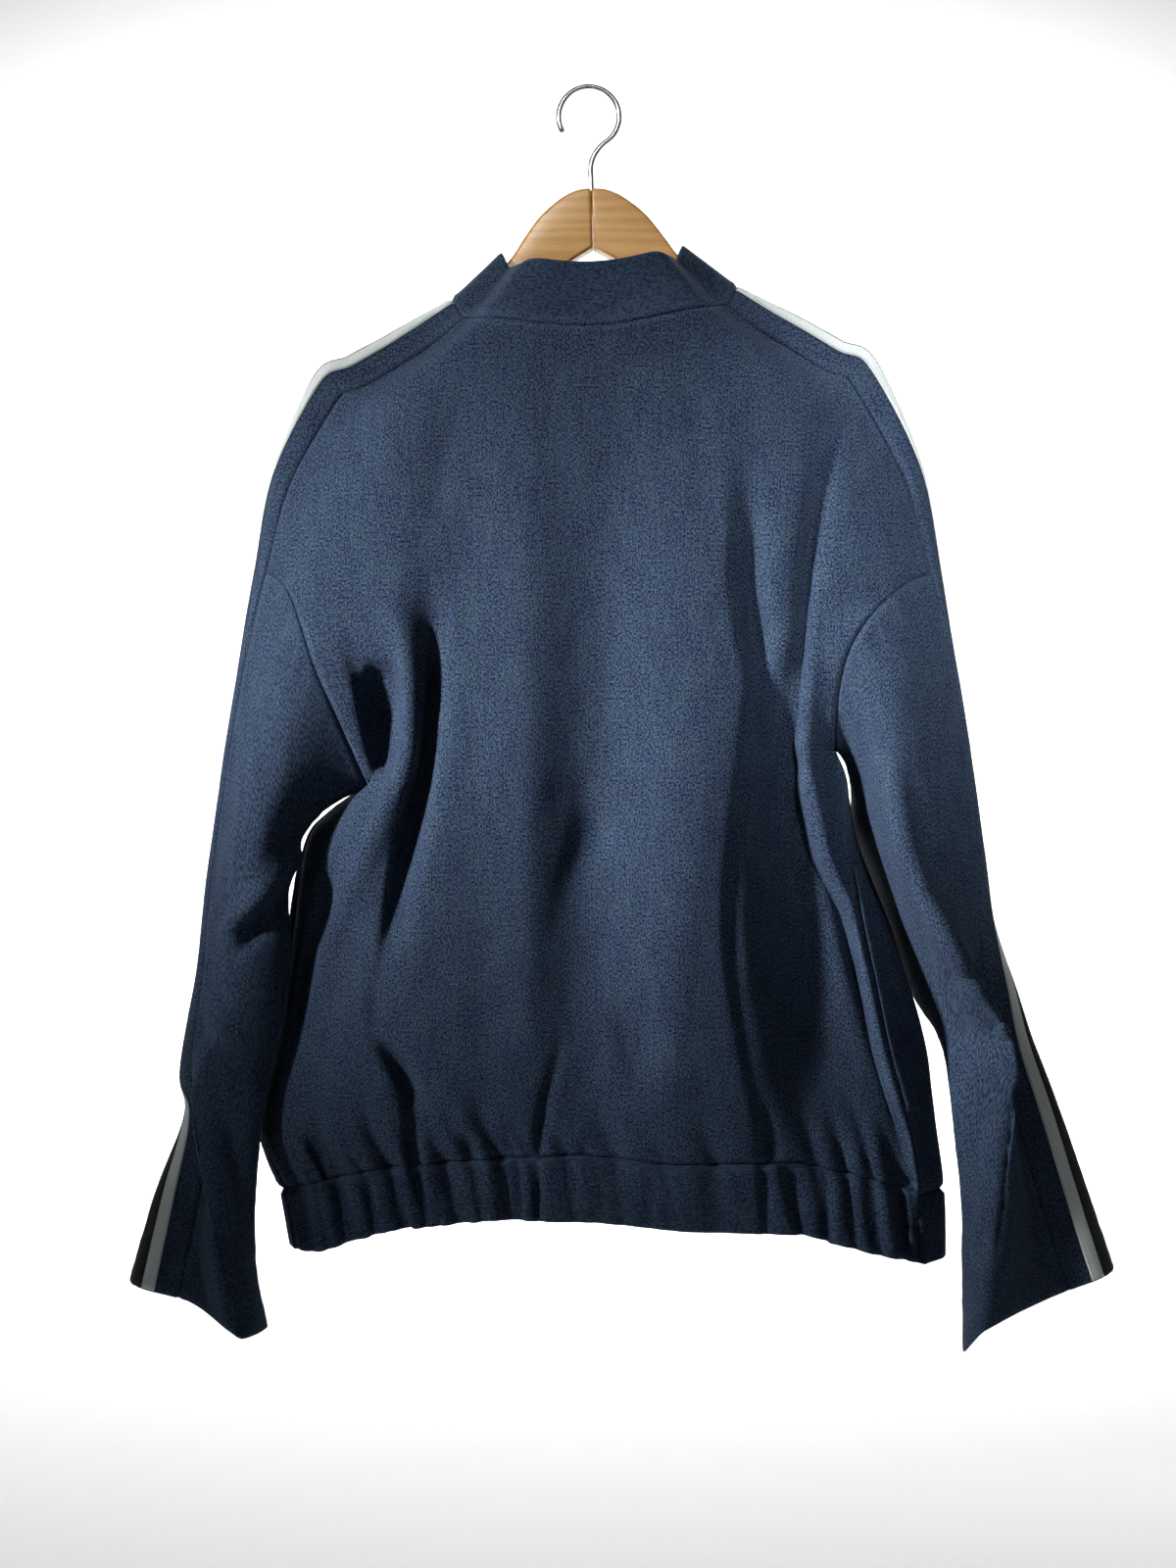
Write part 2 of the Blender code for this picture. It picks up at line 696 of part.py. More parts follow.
def wall_mesh(name, outer, inner, flip):
    """A closed wall between two grids of points, in metres."""
    rows, columns = outer.shape[:2]
    mesh = bmesh.new()
    outside = [[mesh.verts.new(Vector(p) * MM) for p in line] for line in outer]
    inside = [[mesh.verts.new(Vector(p) * MM) for p in line] for line in inner]
    for j in range(rows - 1):
        for k in range(columns - 1):
            mesh.faces.new((outside[j][k], outside[j + 1][k], outside[j + 1][k + 1], outside[j][k + 1]))
            mesh.faces.new((inside[j][k], inside[j][k + 1], inside[j + 1][k + 1], inside[j + 1][k]))
    for k in range(columns - 1):
        add_rim(mesh, outside[0][k], outside[0][k + 1], inside[0][k + 1], inside[0][k])
        add_rim(mesh, outside[-1][k + 1], outside[-1][k], inside[-1][k], inside[-1][k + 1])
    for j in range(rows - 1):
        add_rim(mesh, outside[j + 1][0], outside[j][0], inside[j][0], inside[j + 1][0])
        add_rim(mesh, outside[j][-1], outside[j + 1][-1], inside[j + 1][-1], inside[j][-1])
    if flip:
        bmesh.ops.reverse_faces(mesh, faces=mesh.faces)
    data = bpy.data.meshes.new(name)
    mesh.to_mesh(data)
    mesh.free()
    return data


def add_panel(panel, lift=0.0):
    """The panel's solid, raised by lift from its own grid."""
    grid = drawn_in(panel.grid, panel.normals, SEAM_GAP)
    outer = grid + panel.normals * (lift + panel.wall / 2)
    inner = grid + panel.normals * (lift - panel.wall / 2)
    data = wall_mesh(panel.name, outer, inner, panel.flip)
    return add_object(panel.name, data, panel.material)


def part_of(panel, name, rows, columns, wall, material):
    """A narrower panel on some rows and columns of another, with that panel's normals."""
    piece = Panel(name, panel.grid[rows, columns], wall, material, panel.flip)
    piece.normals = panel.normals[rows, columns]
    return piece


# ---------------------------------------------------------------- objects and finishes

FINISHES = {
    "denim": ((0.014, 0.022, 0.045, 1), 0.86, 0.0),
    "white_tape": ((0.56, 0.58, 0.58, 1), 0.7, 0.0),
    "black_tape": ((0.012, 0.013, 0.016, 1), 0.7, 0.0),
    "wood": ((0.55, 0.3, 0.12, 1), 0.45, 0.0),
    "steel": ((0.62, 0.62, 0.63, 1), 0.3, 1.0),
    "zip_metal": ((0.35, 0.32, 0.27, 1), 0.35, 1.0),
}


def material(slot):
    """The Principled material of a finish, made once."""
    found = bpy.data.materials.get(slot)
    if found:
        return found
    colour, roughness, metallic = FINISHES[slot]
    made = bpy.data.materials.new(slot)
    made.use_nodes = True
    shader = made.node_tree.nodes["Principled BSDF"]
    shader.inputs["Base Color"].default_value = colour
    shader.inputs["Roughness"].default_value = roughness
    shader.inputs["Metallic"].default_value = metallic
    return made


def add_object(name, data, slot):
    made = bpy.data.objects.new(name, data)
    data.materials.clear()
    data.materials.append(material(slot))
    bpy.data.collections["jacket_on_hanger"].objects.link(made)
    return made


def new_scene():
    for old in list(bpy.data.objects):
        bpy.data.objects.remove(old)
    for name in ("jacket_on_hanger", "cutters"):
        made = bpy.data.collections.new(name)
        bpy.context.scene.collection.children.link(made)
    bpy.data.collections["cutters"].hide_render = True


# ---------------------------------------------------------------- jacket


def make_jacket():
    """Every piece of cloth, and the zip's tapes and chain."""
    panels = {
        "back_panel": Panel("back_panel", back_grid(), CLOTH_WALL, "denim"),
        "waistband": Panel("waistband", band_grid(), BAND_WALL, "denim"),
        "collar": Panel("collar", collar_grid(), COLLAR_WALL, "denim", True),
    }
    for side in ("left", "right"):
        left = side == "left"
        pieces = (
            ("front_" + side, front_grid(side), left),
            ("saddle_" + side, strip_grid(side), left),
            ("sleeve_back_" + side, sleeve_grid(side, False), not left),
            ("sleeve_front_" + side, sleeve_grid(side, True), left),
        )
        for name, grid, flip in pieces:
            panels[name] = Panel(name, grid, CLOTH_WALL, "denim", flip)
    share_normals(panels.values())
    for panel in panels.values():
        add_panel(panel)
    for side in ("left", "right"):
        add_tapes(panels["saddle_" + side], side)
        add_welt(panels["front_" + side], side)
    add_zip(panels)


def add_tapes(strip, side):
    """The two tapes on a strip: its middle columns, moved out."""
    lift = CLOTH_WALL / 2 + SEAM_GAP + TAPE_WALL / 2
    for name, columns in (("white_tape_", slice(1, 3)), ("black_tape_", slice(2, 4))):
        tape = part_of(strip, name + side, slice(None), columns, TAPE_WALL, name[:-1])
        tape.grid = tape.grid.copy()
        for end, inner in ((0, 1), (-1, -2)):
            step = tape.grid[inner] - tape.grid[end]
            tape.grid[end] += step / np.linalg.norm(step, axis=1, keepdims=True) * TAPE_END
        add_panel(tape, lift)


TAPE_END = 1.2
WELT_ROWS = slice(17, 23)


def add_welt(front, side):
    """The welt of a side pocket: the first column of the front beside its side seam, moved out."""
    welt = part_of(front, "pocket_welt_" + side, WELT_ROWS, slice(0, 2), WELT_WALL, "denim")
    add_panel(welt, CLOTH_WALL / 2 + SEAM_GAP + WELT_WALL / 2)


# ---------------------------------------------------------------- zip

ZIP_TAPE_REACH = 12.0
ZIP_TAPE_DEPTH = 2.0
CHAIN_HALF = 2.6
CHAIN_WALL = 2.1
CHAIN_LIFT = -0.15
SLIDER_FROM_TOP = 9.0
SLIDER_SIZE = (9.0, 4.0, 12.0)
SLIDER_BACK = 1.5
EAR_INNER = 2.6
EAR_OUTER = 3.8
EAR_HALF = 2.0
PIN_RADIUS = 0.9
PIN_HEIGHT = 8.2
PULL_EYE = 1.35
PULL_RING = 2.2
PULL_HALF_WIDTH = 2.2
PULL_HALF_WALL = 0.7
PULL_LENGTH = 24.0
PULL_REST = 12.0


def zip_edges(panels, side):
    """Points and normals up one edge of the zip, and the next points into the cloth."""
    left = side == "left"
    band = panels["waistband"]
    front = panels["front_" + side]
    collar = panels["collar"]
    edge = 0 if left else -1
    beside = 1 if left else -2
    parts = (
        (band.grid[::-1], band.normals[::-1], edge, beside),
        (front.grid[::-1][1:], front.normals[::-1][1:], -1, -2),
        (collar.grid[1:], collar.normals[1:], edge, beside),
    )
    points = np.concatenate([grid[:, a] for grid, _, a, _ in parts])
    inward = np.concatenate([grid[:, b] for grid, _, _, b in parts])
    normals = np.concatenate([normal[:, a] for _, normal, a, _ in parts])
    return points, inward, normals


def add_zip(panels):
    """Two tapes behind the edges of the fronts, and the chain that closes them."""
    edges = {side: zip_edges(panels, side) for side in ("left", "right")}
    for side, (points, inward, normals) in edges.items():
        step = unit_rows(inward - points)
        middle = points - step * (ZIP_HALF - 0.25)
        grid = np.stack([middle, points + step * ZIP_TAPE_REACH], axis=1)
        tape = Panel("zip_tape_" + side, grid, TAPE_WALL, "black_tape", side == "left")
        tape.normals = np.stack([normals, normals], axis=1)
        add_panel(tape, -ZIP_TAPE_DEPTH)
    left, _, left_normals = edges["left"]
    right, _, right_normals = edges["right"]
    middle = (left + right) / 2
    normals = unit_rows(left_normals + right_normals)
    half = np.array((CHAIN_HALF + SEAM_GAP / 2, 0, 0))
    chain = Panel("zip_chain", np.stack([middle - half, middle + half], axis=1), CHAIN_WALL, "zip_metal")
    chain.normals = np.stack([normals, normals], axis=1)
    add_panel(chain, CHAIN_LIFT)
    add_slider(middle, normals)


def unit_rows(vectors):
    return vectors / np.maximum(np.linalg.norm(vectors, axis=1, keepdims=True), 1e-9)


def add_slider(middle, normals):
    """The slider near the top of the chain, and its pull hung on a pin between two ears."""
    top = middle[-1]
    along = unit(middle[-1] - middle[-2])
    facing = unit(np.cross((1, 0, 0), along))
    centre = top - along * SLIDER_FROM_TOP
    lean = math.atan2(along[1], along[2])
    holder = bpy.data.objects.new("slider_place", None)
    bpy.data.collections["jacket_on_hanger"].objects.link(holder)
    holder.location = Vector(centre) * MM
    holder.rotation_euler = (-lean, 0, 0)

    body = cube("zip_slider", SLIDER_SIZE, (0, SLIDER_BACK + SLIDER_SIZE[1] / 2, 0), "zip_metal")
    body.parent = holder
    front = SLIDER_BACK + SLIDER_SIZE[1]
    reach = PIN_HEIGHT + EAR_HALF - front + 1.0
    for name, sign in (("ear_left", -1), ("ear_right", 1)):
        size = (EAR_OUTER - EAR_INNER, reach, 2 * EAR_HALF)
        place = (sign * (EAR_INNER + EAR_OUTER) / 2, PIN_HEIGHT + EAR_HALF - reach / 2, 0)
        ear = cube(name, size, place, "zip_metal")
        ear.parent = holder
        join(body, ear)
    bpy.ops.mesh.primitive_cylinder_add(vertices=16, radius=PIN_RADIUS * MM, depth=(EAR_INNER + EAR_OUTER) * MM)
    pin = bpy.context.object
    pin.name = "pull_pin"
    pin.location = (0, PIN_HEIGHT * MM, 0)
    pin.rotation_euler = (0, math.pi / 2, 0)
    pin.parent = holder
    move_to(pin, "cutters")
    join(body, pin)

    axis = Vector(centre) + Vector(facing) * (-PIN_HEIGHT if facing[1] < 0 else PIN_HEIGHT)
    add_pull(axis, lean)


def cube(name, size, place, slot):
    """A box of a size in millimetres, centred at a place."""
    bpy.ops.mesh.primitive_cube_add(size=1)
    made = bpy.context.object
    made.name = name
    made.data.transform(Matrix.Diagonal((*(Vector(size) * MM), 1)))
    made.data.transform(Matrix.Translation(Vector(place) * MM))
    made.data.materials.append(material(slot))
    move_to(made, "jacket_on_hanger" if name == "zip_slider" else "cutters")
    return made


def move_to(thing, collection):
    for old in list(thing.users_collection):
        old.objects.unlink(thing)
    bpy.data.collections[collection].objects.link(thing)
    if collection == "cutters":
        thing.display_type = "WIRE"
        thing.hide_render = True


def join(body, other):
    step = body.modifiers.new("join " + other.name, "BOOLEAN")
    step.operation = "UNION"
    step.solver = "EXACT"
    step.object = other


def add_pull(axis, lean):
    """The pull: a plate with an eye round the pin, its origin on the pin's axis."""
    outline = bpy.data.curves.new("zip_pull", "CURVE")
    outline.dimensions = "2D"
    outline.fill_mode = "BOTH"
    outline.extrude = PULL_HALF_WIDTH * MM
    open_half = math.asin(PULL_HALF_WALL / PULL_RING)
    turns = np.linspace(-math.pi / 2 + open_half, 1.5 * math.pi - open_half, 21)
    ring = [(PULL_RING * math.cos(a), PULL_RING * math.sin(a)) for a in turns]
    plate = [(-PULL_HALF_WALL, -PULL_LENGTH), (PULL_HALF_WALL, -PULL_LENGTH)]
    eye = [(PULL_EYE * math.cos(a), PULL_EYE * math.sin(a)) for a in np.linspace(0, 2 * math.pi, 17)[:-1]]
    for points in (ring + plate, eye):
        spline = outline.splines.new("POLY")
        spline.points.add(len(points) - 1)
        for point, (x, y) in zip(spline.points, points):
            point.co = (x * MM, y * MM, 0, 1)
        spline.use_cyclic_u = True
    pull = add_object("zip_pull", outline, "zip_metal")
    pull.location = axis * MM
    to_side = Matrix(((0, 0, 1), (1, 0, 0), (0, 1, 0))).to_4x4()
    swing = Matrix.Rotation(-lean - math.radians(PULL_REST), 4, "X")
    pull.matrix_world = Matrix.Translation(axis * MM) @ swing @ to_side


# ---------------------------------------------------------------- hanger

HANGER_TILT = math.radians(1.87)
WOOD_THICKNESS = 16.0
WOOD_EDGE = 3.5
WOOD_OUTLINE = (
    (0.15, -70),
    (11, -71.5),
    (22, -77),
    (36, -88.5),
    (47, -102.5),
    (58, -118),
    (70, -130),
    (84, -140.1),
    (101, -149.1),
    (145, -174.7),
    (178, -195.2),
    (184, -202.3),
    (183, -213),
    (176, -217),
    (145, -200),
    (100, -173),
    (60, -148),
    (30, -129),
    (0.15, -111),
)
HOOK_WIRE = 1.9
HOOK_RADIUS = 21.0
HOOK_STEM_END = -86.0
HOOK_STEM_TOP = -50.0
HOOK_HOLE = 2.3


def make_hanger():
    """Two wooden halves that meet in the middle, and a wire hook in a hole between them."""
    hang_point = bpy.data.objects.new("hang_point", None)
    bpy.data.collections["jacket_on_hanger"].objects.link(hang_point)
    hang_point.rotation_euler = (0, -HANGER_TILT, 0)
    bpy.ops.mesh.primitive_cylinder_add(vertices=24, radius=HOOK_HOLE * MM, depth=40 * MM)
    hole = bpy.context.object
    hole.name = "hook_hole"
    hole.location = (0, 0, (HOOK_STEM_END - 0.3 + 20) * MM)
    hole.parent = hang_point
    move_to(hole, "cutters")
    for side, sign in (("left", -1), ("right", 1)):
        half = wood_half("hanger_" + side, sign)
        half.parent = hang_point
        cut = half.modifiers.new("hook hole", "BOOLEAN")
        cut.operation = "DIFFERENCE"
        cut.solver = "EXACT"
        cut.object = hole
    add_hook().parent = hang_point


def wood_half(name, sign):
    """One wooden half: its outline with a thickness and rounded edges."""
    mesh = bmesh.new()
    front = WOOD_THICKNESS / 2
    corners = [mesh.verts.new((sign * x * MM, -front * MM, z * MM)) for x, z in WOOD_OUTLINE]
    face = mesh.faces.new(corners)
    made = bmesh.ops.extrude_face_region(mesh, geom=[face])
    moved = [item for item in made["geom"] if isinstance(item, bmesh.types.BMVert)]
    bmesh.ops.translate(mesh, verts=moved, vec=(0, WOOD_THICKNESS * MM, 0))
    bmesh.ops.recalc_face_normals(mesh, faces=mesh.faces)
    data = bpy.data.meshes.new(name)
    mesh.to_mesh(data)
    mesh.free()
    half = add_object(name, data, "wood")
    edge = half.modifiers.new("rounded edges", "BEVEL")
    edge.width = WOOD_EDGE * MM
    edge.segments = 3
    edge.limit_method = "ANGLE"
    edge.angle_limit = math.radians(60)
    return half


def add_hook():
    """The wire hook: a stem, then a crook whose highest inner point is the origin."""
    top = HOOK_WIRE
    centre = top - HOOK_RADIUS
    route = [(0, HOOK_STEM_END), (0, HOOK_STEM_TOP)]
    joining = math.radians(-62)
    for turn in np.linspace(joining, math.radians(205), 30):
        route.append((HOOK_RADIUS * math.cos(turn), centre + HOOK_RADIUS * math.sin(turn)))
    route = rounded(route)
    wire = bpy.data.curves.new("hanger_hook", "CURVE")
    wire.dimensions = "3D"
    wire.bevel_depth = HOOK_WIRE * MM
    wire.bevel_resolution = 2
    wire.use_fill_caps = True
    spline = wire.splines.new("POLY")
    spline.points.add(len(route) - 1)
    for point, (x, z) in zip(spline.points, route):
        point.co = (x * MM, 0, z * MM, 1)
    return add_object("hanger_hook", wire, "steel")


def rounded(route):
    """The route with its corner after the stem eased by a few in-between points."""
    start, corner, after = (np.array(p, float) for p in route[:3])
    eased = []
    for t in np.linspace(0, 1, 8):
        lower = corner + (0, -6)
        eased.append(tuple((1 - t) ** 2 * lower + 2 * t * (1 - t) * (corner + (0, 4)) + t * t * after))
    return [tuple(start)] + eased + route[3:]


# ---------------------------------------------------------------- all of it


def main():
    new_scene()
    make_jacket()
    make_hanger()


if __name__ == "__main__":
    main()
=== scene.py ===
"""Looks of a denim bomber jacket that hangs on a wooden hanger, with its back to -Y.

+X is the wearer's right, +Y the wearer's front, +Z up, and the origin is the highest point inside
the hook. Tables are in millimetres, and MM turns them into metres. Each cut piece of cloth is a
fine grid of points on the form that its solid has, with creases, gathers and sewn edges added.
"""

import logging
import math
from collections.abc import Callable, Iterable, Sequence
from dataclasses import dataclass, field
from enum import Enum
from typing import NamedTuple, TypeVar

import bmesh
import bpy
import numpy as np
from mathutils import Matrix, Vector, kdtree, noise


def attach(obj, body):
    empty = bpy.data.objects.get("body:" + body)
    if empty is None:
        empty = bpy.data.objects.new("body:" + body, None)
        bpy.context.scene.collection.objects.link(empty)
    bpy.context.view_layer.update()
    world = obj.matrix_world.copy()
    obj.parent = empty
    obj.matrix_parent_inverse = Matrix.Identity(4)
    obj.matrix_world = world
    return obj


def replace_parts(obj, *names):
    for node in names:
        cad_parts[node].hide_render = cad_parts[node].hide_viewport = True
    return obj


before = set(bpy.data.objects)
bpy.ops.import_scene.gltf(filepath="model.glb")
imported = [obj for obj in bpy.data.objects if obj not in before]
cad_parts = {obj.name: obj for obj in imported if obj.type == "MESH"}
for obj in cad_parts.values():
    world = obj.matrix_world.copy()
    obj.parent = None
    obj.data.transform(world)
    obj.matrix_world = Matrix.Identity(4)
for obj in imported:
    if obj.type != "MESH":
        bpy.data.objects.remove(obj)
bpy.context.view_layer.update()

LOG = logging.getLogger("jacket")
Array = np.ndarray
Object = bpy.types.Object
Material = bpy.types.Material
Socket = bpy.types.NodeSocket
Triple = tuple[float, float, float]
Input = Socket | Triple | float
Row = TypeVar("Row")

MM = 0.001
CLOTH_WALL = 1.3
COLLAR_WALL = 2.2
BAND_WALL = 2.0
TAPE_WALL = 0.9
WELT_WALL = 1.3

STRIP_HALF = 27.0
TAPE_WIDTH = 10.0
ARMHOLE_ROW = 6.0
ARMPIT_ROW = 10.0
WAIST_ROW = 16.0
HEM_ROW = 17.0
CUFF_ROW = 17.0
RISE_FROM = 12.5
GATHERS_FROM = 14.6

COLLAR_HEIGHT = 48.0
COLLAR_LEAN = (0.31, 0.345)
COLLAR_LEAN_REACH = 90
COLLAR_NARROWING = 0.04
COLLAR_FLATTENING = 0.28
BLADE_X = 115.0
BLADE_LIMITS = (0.12, 0.25)
ROW_STEP = 0.25
BACK_EASING = (-1.2, -0.8, -0.4, 0.4, 0.8, 1.2)
BULGE_Y = 8.0
BACK_EVENING = 30.0
FRONT_EVENING = 14.0
ZIP_HALF = 3.2
WELT_WIDTH = 10.0
WELT_ROWS = (11.34, 14.66)
TAPE_GAP = 0.1
WELT_GAP = 0.2


class Side(Enum):
    """The side of the jacket as seen from its back; LEFT is at -X."""

    LEFT = "left"
    RIGHT = "right"

    @property
    def sign(self) -> int:
        """-1 on the left, 1 on the right."""
        return -1 if self is Side.LEFT else 1


class Face(Enum):
    """The half of a sleeve or of the body."""

    BACK = "back"
    FRONT = "front"


class Grain(Enum):
    """From where the width of a piece is measured on the flat cloth."""

    FIRST_EDGE = 0
    LAST_EDGE = 1
    MIDDLE = 2


class Edge(Enum):
    """An edge of a cut piece: its first and last row, its first and last column."""

    TOP = 0
    BOTTOM = 1
    FIRST = 2
    LAST = 3


class StripRow(NamedTuple):
    """Middle of the shoulder strip, the turn of its face to the back, and how it bends."""

    x: float
    y: float
    z: float
    face: float
    radius: float
    bend_back: float
    bend_front: float


class SleeveRow(NamedTuple):
    """Back crest, underarm seam, front crest, softness of the crest, angle at the seam."""

    crest_x: float
    crest_y: float
    crest_z: float
    inner_x: float
    inner_y: float
    inner_z: float
    front_x: float
    front_y: float
    front_z: float
    soft: float
    tuck: float


class BodyRow(NamedTuple):
    """Depth of back and front, headings at the edges, place of the zip, sag and bow."""

    row: float
    back_left: float
    back_mid: float
    back_right: float
    heading_left: float
    heading_right: float
    front_left: float
    front_right: float
    front_heading_left: float
    front_heading_right: float
    zip_y: float
    zip_z: float
    sag: float
    front_bow: float


class SidePoint(NamedTuple):
    """A point of a side seam and how far the front bulges past it."""

    row: float
    x: float
    y: float
    z: float
    past: float


class Fold(NamedTuple):
    """A trough (positive depth) or ridge through three points of the back or front."""

    start: tuple[float, float]
    middle: tuple[float, float]
    end: tuple[float, float]
    width: float
    depth_start: float
    depth_middle: float
    depth_end: float


class Pleat(NamedTuple):
    """A fine gather: its place across, half width, depth, rows that it runs up, part in the band."""

    middle: float
    half: float
    depth: float
    up: float
    band: float

    def push(self, row: float, places: Array) -> Array:
        """Inward push at a row."""
        if row <= WAIST_ROW:
            strength = float(smooth_step(1 - (WAIST_ROW - row) / self.up))
            half = self.half * (1 + 0.6 * (WAIST_ROW - row) / self.up)
        else:
            strength = 1 + (self.band - 1) * float(smooth_step((row - WAIST_ROW) / 0.5))
            half = self.half
        return self.depth * strength * bell(places - self.middle, half)


# ---------------------------------------------------------------- curves


def rows_of(kind: Callable[..., Row], *rows: Sequence[object]) -> tuple[Row, ...]:
    """The rows of a table, each as one kind of tuple."""
    return tuple(kind(*row) for row in rows)


def hermite(
    t: Array | float, start: Array, leave: Array, end: Array, arrive: Array, step: float = 1.0
) -> Array:
    """Points at t, from 0 to 1, of a span with its slopes at both ends; step is its length."""
    first = (1 + 2 * t) * (1 - t) ** 2 * start + t * (1 - t) ** 2 * step * leave
    return first + t * t * (3 - 2 * t) * end + t * t * (t - 1) * step * arrive


def table_at(rows: Sequence[Sequence[float]], places: Sequence[float], place: float) -> Array:
    """Reads the columns of a table between its rows, on a smooth curve through them.

    Args:
        rows: The table.
        places: The place of each row.
        place: Where to read.

    Returns:
        One value for each column.
    """
    values = np.array(rows, float)
    at = np.array(places, float)
    slopes = np.gradient(values, at, axis=0)
    slopes[1:-1] = (values[2:] - values[:-2]) / (at[2:] - at[:-2])[:, None]
    k = int(np.clip(np.searchsorted(at, place, "right") - 1, 0, len(at) - 2))
    step = at[k + 1] - at[k]
    return hermite((place - at[k]) / step, values[k], slopes[k], values[k + 1], slopes[k + 1], step)


def unit(vector: Array) -> Array:
    """The vector at length 1."""
    return vector / max(np.linalg.norm(vector), 1e-9)


def unit_rows(vectors: Array) -> Array:
    """Each vector on the last axis at length 1."""
    return vectors / np.maximum(np.linalg.norm(vectors, axis=-1, keepdims=True), 1e-9)


def smooth_step(value: Array | float) -> Array:
    """Goes from 0 to 1 with a gentle start and end."""
    held = np.clip(value, 0, 1)
    return held * held * (3 - 2 * held)


def from_ends(places: Array, share: float) -> Array:
    """Rises from 0 at both ends to 1, over a share of the length."""
    return smooth_step(np.minimum(places, 1 - places) / share)


def bell(away: Array | float, width: Array | float) -> Array:
    """A bump of height 1 that falls off over a width."""
    return np.exp(-((away / width) ** 2))


def length_along(line: Array) -> Array:
    """Length from the first point of a line to each of its points."""
    return np.concatenate([[0], np.cumsum(np.linalg.norm(np.diff(line, axis=0), axis=1))])


def read_along(wanted: Array, along: Array, line: Array) -> Array:
    """Points of a line at wanted lengths, where along gives the length at each of its points."""
    return np.stack([np.interp(wanted, along, line[:, k]) for k in range(3)], axis=1)


def curve_through(
    nodes: Sequence[Array], directions: Sequence[Array], softness: Sequence[float], places: Array
) -> Array:
    """Follows cubic spans through nodes, each left along its direction.

    Args:
        nodes: Points of the curve.
        directions: The direction of the curve at each node.
        softness: How far each direction reaches.
        places: Where the wanted points lie, as shares of the length.

    Returns:
        The wanted points.
    """
    knots = np.array(nodes, float)
    points = [knots[:1]]
    t = np.linspace(0, 1, 41)[1:, None]
    for k in range(len(knots) - 1):
        length = np.linalg.norm(knots[k + 1] - knots[k])
        leave = unit(directions[k]) * length * 1.1 * softness[k]
        arrive = unit(directions[k + 1]) * length * 1.1 * softness[k + 1]
        points.append(hermite(t, knots[k], leave, knots[k + 1], arrive))
    line = np.concatenate(points)
    along = length_along(line)
    return read_along(places * along[-1], along, line)


def spaced(count: int, narrow: float) -> Array:
    """Spreads places from 0 to 1, with two close steps beside each end for a sewn edge.

    Args:
        count: How many places lie evenly between the close steps.
        narrow: Share of the length that the first close step takes; the second takes 2.2 times as much.

    Returns:
        The places.
    """
    second = narrow + 2.2 * narrow
    return np.concatenate([[0.0, narrow], np.linspace(second, 1 - second, count), [1 - narrow, 1.0]])


def evened(grid: Array, share: Array, reach: float) -> Array:
    """Smooths a grid down its columns, by cloth length, with its first and last row kept.

    Args:
        grid: Points, row by row.
        share: How much of the smoothing each column takes.
        reach: Length over which points are averaged.

    Returns:
        The smoothed grid.
    """
    made = grid.copy()
    for k in np.flatnonzero(share):
        line = grid[:, k]
        along = length_along(line)
        end = np.minimum(along, along[-1] - along)
        width = np.clip(end / 2.2, 0.5, reach)[:, None]
        weights = bell(along[:, None] - along[None], width) * np.gradient(along)
        smooth = weights @ line / weights.sum(axis=1, keepdims=True)
        made[:, k] += share[k] * smooth_step(end / 6)[:, None] * (smooth - line)
    return made


def routed(points: Sequence[tuple[float, ...]], count: int = 33) -> Array:
    """A smooth route through points, with the same number of steps in each span."""
    rows = [np.array(p, float) for p in points]
    if len(rows) == 2:
        return np.linspace(rows[0], rows[1], count)
    places = list(range(len(rows)))
    return np.array([table_at(rows, places, t) for t in np.linspace(0, len(rows) - 1, count)])


def distance_to(route: Array, points: Array) -> tuple[Array, Array]:
    """Signed distance of points from a route in the plane of X and Z.

    Args:
        route: Points of the route, in order.
        points: Points in the same plane.

    Returns:
        The distance, negative on the side towards -X of a route that runs down, and the place of
        the nearest point along the route, from 0 to 1.
    """
    steps = route[1:] - route[:-1]
    lengths = np.maximum((steps**2).sum(axis=1), 1e-9)
    away = points[:, None] - route[None, :-1]
    share = np.clip((away * steps).sum(axis=2) / lengths, 0, 1)
    gap = away - share[..., None] * steps
    size = np.linalg.norm(gap, axis=2)
    nearest = size.argmin(axis=1)
    pick = np.arange(len(points))
    step = steps[nearest]
    near = gap[pick, nearest]
    sign = np.sign(step[:, 0] * near[:, 1] - step[:, 1] * near[:, 0])
    sign = np.where(sign == 0, 1.0, sign)
    return sign * size[pick, nearest], (nearest + share[pick, nearest]) / len(steps)


class Crease(NamedTuple):
    """A trough (positive depth) or ridge along a route across X and Z that runs down.

    The first width is that on the side towards -X, the second that towards +X.
    """

    route: tuple[tuple[float, float], ...]
    widths: tuple[float, float]
    depths: tuple[float, ...]

    def depth_at(self, points: Array) -> Array:
        """Depth at points of X and Z."""
        away, place = distance_to(routed(self.route), points)
        height = np.interp(place, np.linspace(0, 1, len(self.depths)), self.depths)
        width = np.where(away < 0, *self.widths)
        return height * bell(away, width)


class Hollow(NamedTuple):
    """A hollow of the back or of the fronts between two crests.

    Its rows give a height, the left and the right crest at it, and its depth; fall and climb are
    the shares of its width over which it sinks from the left crest and rises to the right one.
    """

    rows: tuple[tuple[float, float, float, float], ...]
    fall: float
    climb: float

    def depth_at(self, points: Array) -> Array:
        """Depth at points of X and Z."""
        table = np.array(self.rows[::-1], float)
        left, right, depth = (np.interp(points[:, 1], table[:, 0], table[:, k]) for k in (1, 2, 3))
        outside = (points[:, 1] < table[0, 0]) | (points[:, 1] > table[-1, 0])
        place = (points[:, 0] - left) / (right - left)
        shape = smooth_step(place / self.fall) * smooth_step((1 - place) / self.climb)
        return np.where(outside, 0, depth * shape)


# ---------------------------------------------------------------- tables

